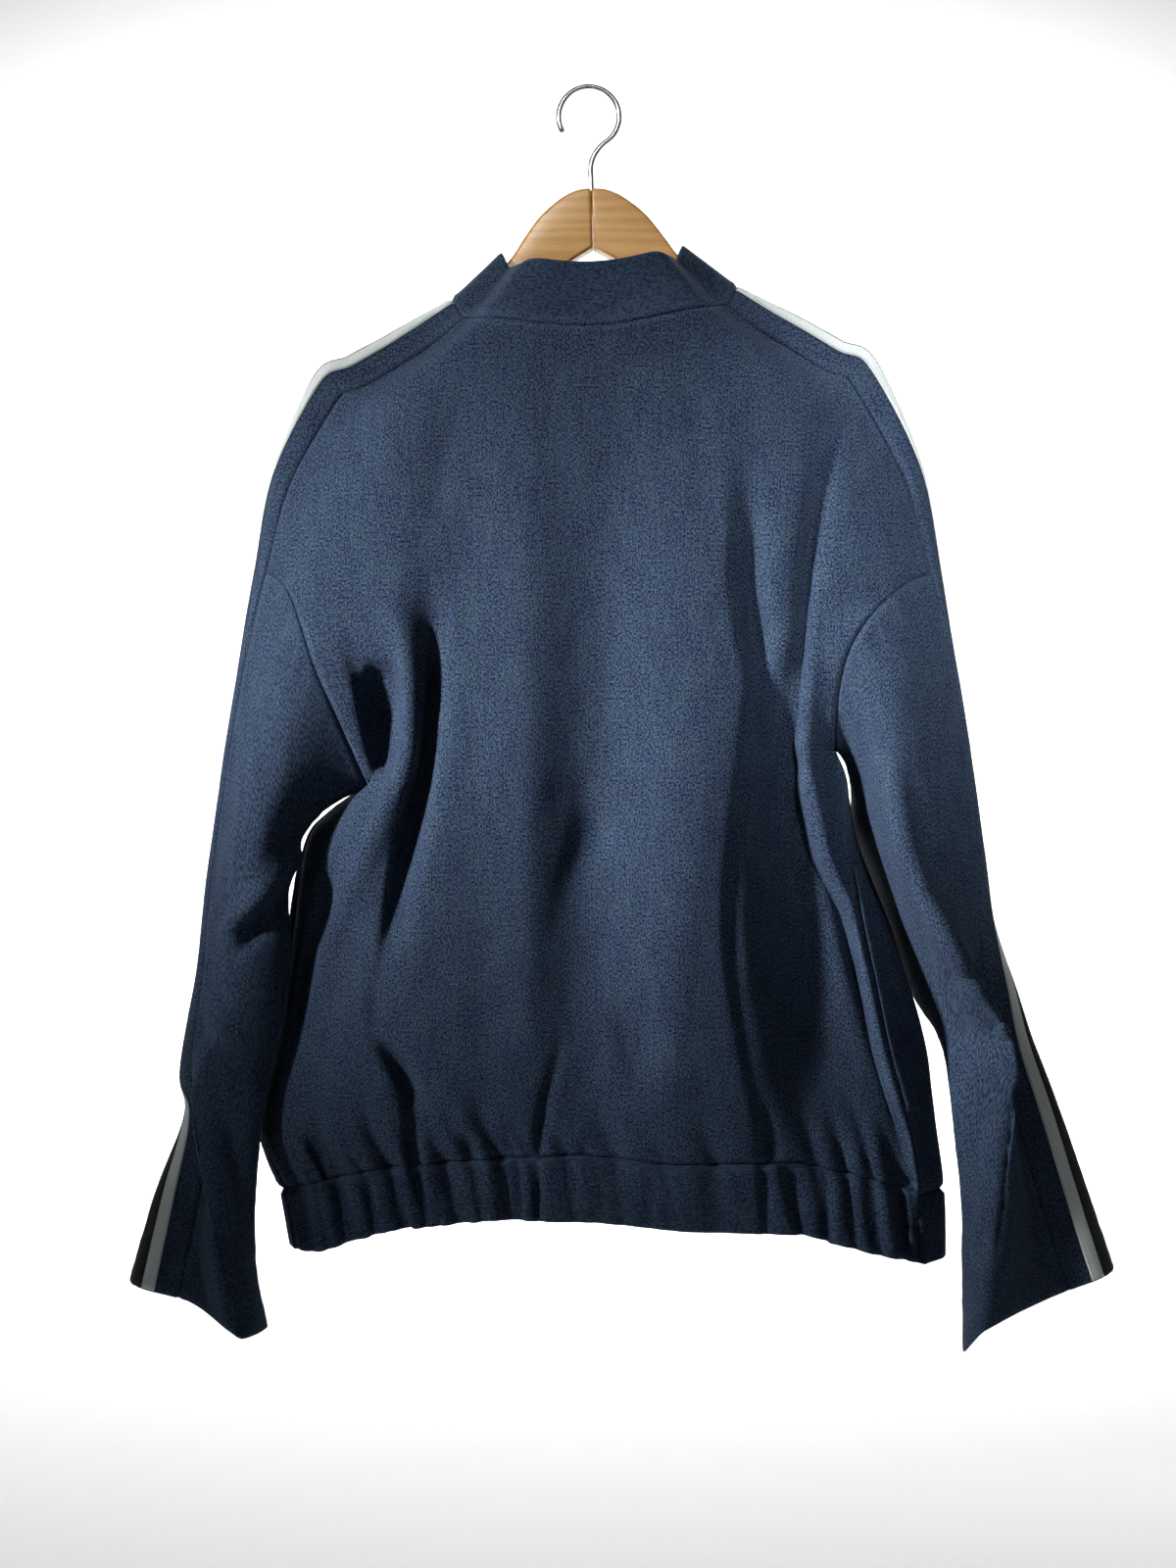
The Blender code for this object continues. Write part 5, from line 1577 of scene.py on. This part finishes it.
class Denim(Finish):
    """Twill with a grain of dark and light threads, uneven in dye."""

    GRAIN_SCALE = (980, 620, 1)
    STREAK_SCALE = (520, 36, 1)
    CLOUD_SCALE = (70, 40, 1)
    TWILL = (430, 330, 0)
    TINTS = ((0.97, 0.96, 1.05), (0.98, 1.03, 0.98))
    SHINE = {"Specular IOR Level": 0.12, "Sheen Weight": 0.04, "Sheen Roughness": 0.45}

    def make(self) -> Material:
        """Builds the material."""
        nodes = Nodes(self.name)
        flat = nodes.place("UV")
        grain = nodes.speckle(flat, self.GRAIN_SCALE, 3.0)
        streak = nodes.speckle(flat, self.STREAK_SCALE, 2.0)
        cloud = nodes.speckle(flat, self.CLOUD_SCALE, 4.0)
        twill = nodes.ribs(flat, self.TWILL)
        wear = nodes.add("Attribute", {}, attribute_name="wear")["Fac"]
        share = nodes.maths("ADD", nodes.eased(grain, 0.34, 0.68, -0.42, 0.52), 0.36)
        share = nodes.maths("ADD", share, nodes.eased(streak, 0.3, 0.7, -0.08, 0.08))
        share = nodes.maths("ADD", share, nodes.eased(cloud, 0.25, 0.75, -0.06, 0.06))
        share = nodes.maths("MULTIPLY_ADD", twill, 0.02, share)
        share = nodes.maths("MULTIPLY_ADD", wear, 0.35, share)
        plain = nodes.mixed(nodes.add("Clamp", {"Value": share})[0], self.low, self.high)
        tint = nodes.mixed(nodes.eased(cloud, 0.35, 0.65), *self.TINTS)
        nodes.relief(nodes.maths("MULTIPLY_ADD", twill, 0.15, grain), 0.0001, 0.5)
        return nodes.finish(nodes.mixed(1.0, plain, tint, "MULTIPLY"), self.roughness, self.SHINE)


class Webbing(Finish):
    """A woven tape with fine ribs across it, and painted shade in the valleys between the ribs."""

    RIBS = (0, 900, 0)
    THREAD_SCALE = (1500, 700, 1)
    DUST_SCALE = (60, 40, 1)

    def make(self) -> Material:
        """Builds the material."""
        nodes = Nodes(self.name)
        flat = nodes.place("UV")
        ribs = nodes.ribs(flat, self.RIBS)
        threads = nodes.speckle(flat, self.THREAD_SCALE, 2.0)
        dust = nodes.speckle(flat, self.DUST_SCALE, 4.0)
        # The ribs also paint light and shade into the colour: painted shade in the valleys between them,
        # painted highlight on their crowns.
        share = nodes.maths("MULTIPLY_ADD", ribs, 0.22, nodes.eased(threads, 0.3, 0.7, 0.3, 0.85))
        share = nodes.maths("MULTIPLY", share, nodes.eased(dust, 0.3, 0.7, 0.82, 1.05))
        nodes.relief(ribs, 0.00016, 0.6)
        colour = nodes.mixed(nodes.add("Clamp", {"Value": share})[0], self.low, self.high)
        return nodes.finish(colour, self.roughness, {})


class Wood(Finish):
    """Varnished light wood with its grain along X."""

    RINGS = {"Scale": 38.0, "Distortion": 9.0, "Detail": 3.0, "Detail Scale": 0.6}
    RING_SCALE = (0.16, 1, 1)
    PORE_SCALE = (130, 1700, 1700)
    VARNISH = {"Coat Weight": 0.35, "Coat Roughness": 0.2}

    def make(self) -> Material:
        """Builds the material."""
        nodes = Nodes(self.name)
        place = nodes.place("Object")
        inputs = {"Vector": nodes.scaled(place, self.RING_SCALE), **self.RINGS}
        rings = nodes.add("TexWave", inputs, wave_type="BANDS", bands_direction="Z")["Fac"]
        pores = nodes.speckle(place, self.PORE_SCALE, 3.0)
        share = nodes.maths("MULTIPLY_ADD", rings, 0.5, nodes.eased(pores, 0.35, 0.75, 0.0, 0.45))
        nodes.relief(pores, 0.0001, 0.3)
        return nodes.finish(nodes.mixed(share, self.low, self.high), self.roughness, self.VARNISH)


class Metal(Finish):
    """A plated metal with faint marks."""

    MARK_SCALE = (700, 700, 260)
    ROUGHER = 0.15

    def make(self) -> Material:
        """Builds the material."""
        nodes = Nodes(self.name)
        marks = nodes.speckle(nodes.place("Object"), self.MARK_SCALE, 3.0)
        roughness = nodes.eased(marks, 0.3, 0.75, self.roughness, self.roughness + self.ROUGHER)
        colour = nodes.mixed(nodes.eased(marks, 0.35, 0.7), self.low, self.high)
        return nodes.finish(colour, roughness, {"Metallic": 1.0})


class Thread(Finish):
    """Sewing thread."""

    TWIST_SCALE = (2400, 2400, 2400)

    def make(self) -> Material:
        """Builds the material."""
        nodes = Nodes(self.name)
        twist = nodes.speckle(nodes.place("Object"), self.TWIST_SCALE, 1.0)
        colour = nodes.mixed(nodes.eased(twist, 0.3, 0.7), self.low, self.high)
        return nodes.finish(colour, self.roughness, {})


class Finishes:
    """All materials, made once."""

    def __init__(self) -> None:
        """Builds them."""
        self.denim = Denim("denim", (0.007, 0.0105, 0.022), (0.088, 0.128, 0.198), 0.88).make()
        self.white_tape = Webbing("white_tape", (0.33, 0.355, 0.36), (0.72, 0.765, 0.755), 0.75).make()
        self.black_tape = Webbing("black_tape", (0.006, 0.0066, 0.0085), (0.026, 0.028, 0.033), 0.75).make()
        self.wood = Wood("wood", (0.8, 0.47, 0.175), (0.6, 0.31, 0.1), 0.42).make()
        self.steel = Metal("steel", (0.7, 0.7, 0.71), (0.56, 0.56, 0.568), 0.16).make()
        self.zip_metal = Metal("zip_metal", (0.36, 0.33, 0.28), (0.288, 0.264, 0.224), 0.32).make()
        self.navy_thread = Thread("navy_thread", (0.03, 0.0432, 0.069), (0.05, 0.072, 0.115), 0.7).make()
        self.white_thread = Thread("white_thread", (0.432, 0.438, 0.432), (0.72, 0.73, 0.72), 0.7).make()
        self.black_thread = Thread("black_thread", (0.0096, 0.0102, 0.012), (0.016, 0.017, 0.02), 0.7).make()


# ---------------------------------------------------------------- stitches and teeth


class Repeat:
    """Geometry Nodes that lay one small shape again and again along lines."""

    SOCKETS = {"Lines": "Geometry", "Pitch": "Float", "Size": "Vector", "Finish": "Material"}
    NODES = {
        "start": "NodeGroupInput",
        "end": "NodeGroupOutput",
        "curve": "GeometryNodeMeshToCurve",
        "points": "GeometryNodeCurveToPoints",
        "upright": "FunctionNodeAlignRotationToVector",
        "square": "FunctionNodeAlignRotationToVector",
        "put": "GeometryNodeInstanceOnPoints",
        "real": "GeometryNodeRealizeInstances",
        "paint": "GeometryNodeSetMaterial",
    }
    LINKS = (
        ("start", "Lines", "curve", "Mesh"),
        ("curve", "Curve", "points", "Curve"),
        ("start", "Pitch", "points", "Length"),
        ("points", "Tangent", "upright", "Vector"),
        ("upright", "Rotation", "square", "Rotation"),
        ("points", "Points", "put", "Points"),
        ("shape", "Mesh", "put", "Instance"),
        ("square", "Rotation", "put", "Rotation"),
        ("start", "Size", "put", "Scale"),
        ("put", "Instances", "real", "Geometry"),
        ("real", "Geometry", "paint", "Geometry"),
        ("start", "Finish", "paint", "Material"),
        ("paint", "Geometry", "end", "Pieces"),
    )
    BEAD = {"Segments": 6, "Rings": 5, "Radius": 0.5}

    def __init__(self, name: str, pitch: float, size: Triple, boxed: bool) -> None:
        """Builds the node group.

        Args:
            name: Name of the group.
            pitch: Distance from one to the next, in millimetres.
            size: Size of the shape across, out and along, in millimetres.
            boxed: Whether the shape is a block instead of a rounded bead.
        """
        self.group = bpy.data.node_groups.new(name, "GeometryNodeTree")
        self.values = {"Pitch": pitch * MM, "Size": tuple(part * MM for part in size)}
        face = self.group.interface
        self.keys = {
            word: face.new_socket(word, in_out="INPUT", socket_type="NodeSocket" + kind).identifier
            for word, kind in self.SOCKETS.items()
        }
        face.new_socket("Pieces", in_out="OUTPUT", socket_type="NodeSocketGeometry")
        made = {word: self.group.nodes.new(kind) for word, kind in self.NODES.items()}
        made["shape"] = self.group.nodes.new("GeometryNodeMesh" + ("Cube" if boxed else "UVSphere"))
        for key, value in () if boxed else self.BEAD.items():
            made["shape"].inputs[key].default_value = value
        made["points"].mode = "LENGTH"
        made["upright"].axis = "Z"
        made["square"].axis = "X"
        made["square"].pivot_axis = "Z"
        made["square"].inputs["Vector"].default_value = (1, 0, 0)
        for start, output, end, socket in self.LINKS:
            self.group.links.new(made[start].outputs[output], made[end].inputs[socket])

    def along(self, name: str, lines: Sequence[Array], finish: Material) -> Object:
        """Makes one plain mesh of the shapes along lines of points in millimetres."""
        starts = np.cumsum([0] + [len(line) for line in lines]).tolist()
        edges = [(at + k, at + k + 1) for at, line in zip(starts, lines) for k in range(len(line) - 1)]
        data = bpy.data.meshes.new(name + "_lines")
        data.from_pydata((np.concatenate(lines) * MM).tolist(), edges, [])
        made = linked(name, data)
        step = made.modifiers.new("pieces", "NODES")
        step.node_group = self.group
        for word, value in {**self.values, "Finish": finish}.items():
            step[self.keys[word]] = value
        settle(made)
        bpy.data.meshes.remove(data)
        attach(made, BODY_NAME)
        return made


def stitch_line(panel: Panel, edge: Edge, away: float, rows: slice = slice(None)) -> Array:
    """A line on the outside of a piece, a set length of cloth from one of its edges.

    Args:
        panel: The piece.
        edge: The edge that the line follows.
        away: Length of cloth from the edge.
        rows: The part of the edge's points that it follows.

    Returns:
        Points in millimetres.
    """
    along = panel.distance_from(edge)
    grid = panel.grid + panel.normals * (panel.wall / 2)
    if edge in (Edge.TOP, Edge.BOTTOM):
        along, grid = along.T, grid.transpose(1, 0, 2)
    if edge in (Edge.BOTTOM, Edge.LAST):
        along, grid = along[:, ::-1], grid[:, ::-1]
    line = [[np.interp(away, far, line[:, k]) for k in range(3)] for far, line in zip(along, grid)]
    return np.array(line)[rows]


# ---------------------------------------------------------------- tapes, welts and zip


def slice_of(panel: Panel, name: str, columns: slice, rows: slice, wall: float, gap: float) -> Panel:
    """A piece that lies on some rows and columns of another, with a gap between their walls."""
    made = Panel(name, panel.grid[rows, columns].copy(), panel.flip, (), wrinkle=0.0, wall=wall)
    made.normals = panel.normals[rows, columns].copy()
    made.grid += made.normals * (panel.wall / 2 + wall / 2 + gap)
    return made


class Jacket:
    """All cloth of the jacket, with its tapes, stitches and zip."""

    def __init__(self, form: JacketForm, finishes: Finishes) -> None:
        """Keeps the form and the finishes, and lays out the cut pieces."""
        self.form = form
        self.finishes = finishes
        self.made: dict[str, Object] = {}
        self.panels = self.cut()

    def cut(self) -> dict[str, Panel]:
        """The cut pieces, shaped."""
        top, bottom, first, last = Edge
        form = self.form
        panels = [
            Panel("back_panel", form.back_grid(), False, tuple(Edge), BACK_CREASES, grain=Grain.MIDDLE),
            Panel("waistband", form.band_grid(), False, (top,), BAND_CREASES, 0.35, BAND_WALL, gathered=top),
            Panel("collar", form.collar_grid(), True, (top,), COLLAR_CREASES, 0.3, COLLAR_WALL),
        ]
        panels[0].gathered = bottom
        for side in Side:
            left = side is Side.LEFT
            word = side.value
            sides = (top, first, last)
            back, ahead = (form.sleeve_grid(side, face) for face in Face)
            front = Panel("front_" + word, form.front_grid(side), left, (top, bottom, first), FRONT_CREASES)
            front.grain = Grain.LAST_EDGE
            front.gathered = bottom
            panels += [
                front,
                Panel("saddle_" + word, form.strip_grid(side), left, sides),
                Panel("sleeve_back_" + word, back, not left, sides, SLEEVE_BACK_CREASES),
                Panel("sleeve_front_" + word, ahead, left, sides, SLEEVE_FRONT_CREASES),
            ]
        share_normals(panels)
        for panel in panels:
            panel.shape()
        share_normals(panels)
        return {panel.name: panel for panel in panels}

    def build(self) -> None:
        """Makes every object of the jacket."""
        for panel in self.panels.values():
            self.add(panel, self.finishes.denim)
        for side in Side:
            self.add_tapes(side)
            self.add_welt(side)
            self.add_zip_tape(side)
        self.add_stitches()
        self.add_teeth()

    def add(self, panel: Panel, finish: Material) -> None:
        """Makes one piece in place of its solid."""
        made = panel.build(finish)
        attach(made, BODY_NAME)
        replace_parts(made, panel.name)
        self.made[panel.name] = made

    def add_tapes(self, side: Side) -> None:
        """The two woven tapes on a shoulder strip."""
        saddle = self.panels["saddle_" + side.value]
        low, middle, high = (int(np.argmin(np.abs(STRIP_REACH - at))) for at in (-TAPE_WIDTH, 0, TAPE_WIDTH))
        for word, columns, finish in (
            ("white_tape_", slice(low, middle + 1), self.finishes.white_tape),
            ("black_tape_", slice(middle, high + 1), self.finishes.black_tape),
        ):
            tape = slice_of(saddle, word + side.value, columns, slice(1, -1), TAPE_WALL, TAPE_GAP)
            self.panels[tape.name] = tape
            self.add(tape, finish)

    def add_welt(self, side: Side) -> None:
        """The welt of a side pocket, which stands open a little."""
        front = self.panels["front_" + side.value]
        top, bottom = (int(np.searchsorted(self.form.body_rows(), row)) for row in WELT_ROWS)
        away = front.distance_from(Edge.FIRST)[(top + bottom) // 2]
        columns = slice(1, int(np.searchsorted(away, WELT_WIDTH)) + 1)
        name = "pocket_welt_" + side.value
        welt = slice_of(front, name, columns, slice(top, bottom + 1), WELT_WALL, WELT_GAP)
        along = np.linspace(0, 1, len(welt.grid))[:, None]
        edge = np.linspace(1, 0, welt.grid.shape[1])[None]
        welt.grid += welt.normals * (WELT_GAPE * np.sin(math.pi * along) ** 0.8 * edge)[..., None]
        welt.normals = grid_normals(welt.grid, welt.flip)
        self.panels[welt.name] = welt
        self.add(welt, self.finishes.denim)

    def zip_edges(self, side: Side) -> tuple[Array, Array, Array]:
        """Points up one edge of the zip, the next points into the cloth, and normals."""
        band, front, collar = (self.panels[name] for name in ("waistband", "front_" + side.value, "collar"))
        edge, beside = (0, 1) if side is Side.LEFT else (-1, -2)
        parts = (
            (band.grid[::-1], band.normals[::-1], edge, beside),
            (front.grid[::-1][1:], front.normals[::-1][1:], -1, -2),
            (collar.grid[1:], collar.normals[1:], edge, beside),
        )
        points = np.concatenate([grid[:, a] for grid, _, a, _ in parts])
        inward = np.concatenate([grid[:, b] for grid, _, _, b in parts])
        return points, inward, np.concatenate([normal[:, a] for _, normal, a, _ in parts])

    def add_zip_tape(self, side: Side) -> None:
        """The woven tape behind one edge of the front."""
        points, inward, normals = self.zip_edges(side)
        step = unit_rows(inward - points)
        places = np.linspace(0, 1, ZIP_TAPE_STEPS)[None, :, None]
        start = points - step * (ZIP_HALF - ZIP_TAPE_GAP)
        grid = start[:, None] + (points + step * ZIP_TAPE_REACH - start)[:, None] * places
        tape = Panel("zip_tape_" + side.value, grid, side is Side.LEFT, (), wrinkle=0.0, wall=TAPE_WALL)
        tape.normals = np.repeat(normals[:, None], ZIP_TAPE_STEPS, axis=1)
        tape.grid -= tape.normals * ZIP_TAPE_DEPTH
        self.add(tape, self.finishes.black_tape)

    def add_teeth(self) -> None:
        """The zip's two rows of teeth, which reach between each other."""
        left, _, left_normals = self.zip_edges(Side.LEFT)
        right, _, right_normals = self.zip_edges(Side.RIGHT)
        middle = (left + right) / 2 + unit_rows(left_normals + right_normals) * TOOTH_LIFT
        along = length_along(middle)
        lines = []
        for sign, start in ((-1, 0.0), (1, TOOTH_PITCH / 2)):
            places = np.arange(start, along[-1] - TOOTH_PITCH / 2 + start, TOOTH_PITCH)
            lines.append(read_along(places, along, middle) + (sign * TOOTH_REACH, 0, 0))
        teeth = Repeat("teeth", TOOTH_PITCH, TOOTH_SIZE, True)
        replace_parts(teeth.along("zip_chain_teeth", lines, self.finishes.zip_metal), "zip_chain")

    def add_stitches(self) -> None:
        """Every line of stitches."""
        finishes = self.finishes
        stitches = Repeat("stitches", STITCH_PITCH, STITCH_SIZE, False)
        lines: dict[str, list[Array]] = {}
        threads: dict[str, Material] = {}

        def sew(name: str, thread: Material, piece: str, *place: float | Edge | slice) -> None:
            """Adds a line on a piece to those of one name."""
            lines.setdefault(name, []).append(stitch_line(self.panels[piece], *place))
            threads[name] = thread

        navy = finishes.navy_thread
        for side in Side:
            word = side.value
            for piece, thread, away in (
                ("white_tape_" + word, finishes.white_thread, TAPE_STITCH),
                ("black_tape_" + word, finishes.black_thread, TAPE_STITCH),
                ("saddle_" + word, navy, STRIP_STITCH),
            ):
                sew("stitches_" + piece, thread, piece, Edge.FIRST, away)
                sew("stitches_" + piece, thread, piece, Edge.LAST, away)
            for piece in ("sleeve_back_", "sleeve_front_", "saddle_"):
                sew("stitches_cuff_" + word, navy, piece + word, Edge.BOTTOM, CUFF_HEM, slice(1, -1))
            sew("stitches_zip_" + word, navy, "front_" + word, Edge.LAST, ZIP_STITCH)
            sew("stitches_pocket_" + word, navy, "pocket_welt_" + word, Edge.LAST, WELT_STITCH)
        sew("stitches_neck", navy, "collar", Edge.TOP, NECK_STITCH)
        for name, name_lines in lines.items():
            self.made[name] = stitches.along(name, name_lines, threads[name])


# ---------------------------------------------------------------- hanger


def wood_half(side: Side, finish: Material) -> None:
    """One wooden half, with well rounded edges."""
    mesh = bmesh.new()
    outline = routed(WOOD_OUTLINE, 4 * len(WOOD_OUTLINE))
    corners = [mesh.verts.new((side.sign * x * MM, -WOOD_THICKNESS / 2 * MM, z * MM)) for x, z in outline]
    made = bmesh.ops.extrude_face_region(mesh, geom=[mesh.faces.new(corners)])
    moved = [item for item in made["geom"] if isinstance(item, bmesh.types.BMVert)]
    bmesh.ops.translate(mesh, verts=moved, vec=(0, WOOD_THICKNESS * MM, 0))
    bmesh.ops.recalc_face_normals(mesh, faces=mesh.faces)
    data = bpy.data.meshes.new("hanger_" + side.value + "_wood")
    mesh.to_mesh(data)
    mesh.free()
    data.materials.append(finish)
    half = linked(data.name, data)
    edge = half.modifiers.new("rounded edges", "BEVEL")
    edge.width = WOOD_EDGE * MM
    edge.segments = 6
    edge.limit_method = "ANGLE"
    edge.angle_limit = math.radians(60)
    settle(half)
    half.data.transform(TILT)
    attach(half, BODY_NAME)
    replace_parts(half, "hanger_" + side.value)


def wire_hook(finish: Material) -> None:
    """The wire hook, whose highest inner point is the origin, with a round end."""
    first, last = (math.radians(turn) for turn in HOOK_TURNS)
    crook = [
        (HOOK_RADIUS * math.cos(turn), HOOK_WIRE - HOOK_RADIUS + HOOK_RADIUS * math.sin(turn))
        for turn in np.linspace(first, last, 72)
    ]
    corner = np.array((0, HOOK_STEM_TOP))
    eased = [
        (1 - t) ** 2 * (corner + (0, -6)) + 2 * t * (1 - t) * (corner + (0, 4)) + t * t * np.array(crook[0])
        for t in np.linspace(0, 1, 20)
    ]
    route = [(0, z) for z in np.linspace(HOOK_STEM_END, HOOK_STEM_TOP - 8, 6)]
    route += [tuple(point) for point in eased] + crook[1:]
    line = np.array([(x, 0.0, z) for x, z in route])
    along = unit_rows(np.gradient(line, axis=0))
    across = np.array((0.0, 1.0, 0.0))
    ring = np.linspace(0, 2 * math.pi, 25)[:-1]
    stations = [(point, way, 1.0) for point, way in zip(line, along)]
    stations += [(line[-1] - along[-1] * HOOK_WIRE * shift, along[-1], scale) for shift, scale in HOOK_END]
    points = []
    for point, way, scale in stations:
        out = np.cross(way, across)
        points.append([point + HOOK_WIRE * scale * (math.cos(a) * across + math.sin(a) * out) for a in ring])
    faces, index = ring_faces(len(points), len(ring))
    faces += [index[0].tolist(), index[-1, ::-1].tolist()]
    hook = mesh_object("hanger_hook_wire", np.array(points).reshape(-1, 3) * MM, faces, finish)
    hook.data.transform(TILT)
    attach(hook, BODY_NAME)
    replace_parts(hook, "hanger_hook")


# ---------------------------------------------------------------- room


def make_backdrop() -> None:
    """A pale seamless floor that curves up into walls, open at the top."""
    turns = np.linspace(0, 2 * math.pi, 97)[:-1]
    profile = [(0.001, 0.0), (FLOOR_RADIUS / 2, 0.0), (FLOOR_RADIUS, 0.0)]
    for angle in np.linspace(0, math.pi / 2, 12)[1:]:
        profile.append((FLOOR_RADIUS + WALL_BEND * math.sin(angle), WALL_BEND * (1 - math.cos(angle))))
    profile.append((FLOOR_RADIUS + WALL_BEND, WALL_TOP))
    points = np.array([[(r * math.cos(a), r * math.sin(a), FLOOR_Z + z) for a in turns] for r, z in profile])
    faces, index = ring_faces(len(profile), len(turns))
    inward = [(face[0], *face[:0:-1]) for face in faces] + [index[0, ::-1].tolist()]
    finish = Nodes("backdrop").finish(BACKDROP, 0.9, {"Specular IOR Level": 0.1})
    mesh_object("backdrop", points.reshape(-1, 3), inward, finish)


def make_lights() -> None:
    """The lamps and the sky."""
    for lamp in LAMPS:
        light = bpy.data.lights.new(lamp.name, "AREA")
        light.energy = lamp.watts
        light.shape = "DISK"
        light.size = lamp.size
        light.spread = math.radians(lamp.spread)
        holder = linked(lamp.name, light)
        holder.location = lamp.place
        holder.visible_camera = False
        holder.rotation_euler = (Vector(lamp.aim) - Vector(lamp.place)).to_track_quat("-Z", "Y").to_euler()
    world = bpy.data.worlds.new("sky")
    world.use_nodes = True
    world.node_tree.nodes["Background"].inputs["Color"].default_value = (1, 1, 1, 1)
    world.node_tree.nodes["Background"].inputs["Strength"].default_value = SKY
    bpy.context.scene.world = world


def make_camera() -> None:
    """The camera and how its picture is toned."""
    bpy.context.scene.view_settings.view_transform = "Standard"
    bpy.context.scene.view_settings.look = "Medium High Contrast"
    camera = bpy.data.cameras.new("camera")
    camera.sensor_fit = "VERTICAL"
    camera.angle = 2 * math.atan(VIEW_HALF_HEIGHT / VIEW_DISTANCE)
    camera.clip_start = 0.01
    viewer = linked("camera", camera)
    viewer.location = (0, -VIEW_DISTANCE, -VIEW_DROP)
    viewer.rotation_euler = (math.pi / 2, 0, 0)
    bpy.context.scene.camera = viewer


def finish_solids(finishes: Finishes) -> None:
    """Gives the solids that show their own finishes."""
    for name in ("zip_slider", "zip_pull"):
        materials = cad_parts[name].data.materials
        materials.clear()
        materials.append(finishes.zip_metal)


def main() -> None:
    """Builds everything in order."""
    logging.basicConfig(level=logging.INFO, format="%(name)s: %(message)s")
    finishes = Finishes()
    LOG.info("finishes made")
    jacket = Jacket(JacketForm(), finishes)
    LOG.info("cloth shaped")
    jacket.build()
    LOG.info("cloth built")
    for side in Side:
        wood_half(side, finishes.wood)
    wire_hook(finishes.steel)
    finish_solids(finishes)
    LOG.info("hanger and metal parts made")
    make_backdrop()
    make_lights()
    make_camera()
    LOG.info("room made")


if __name__ == "__main__":
    main()
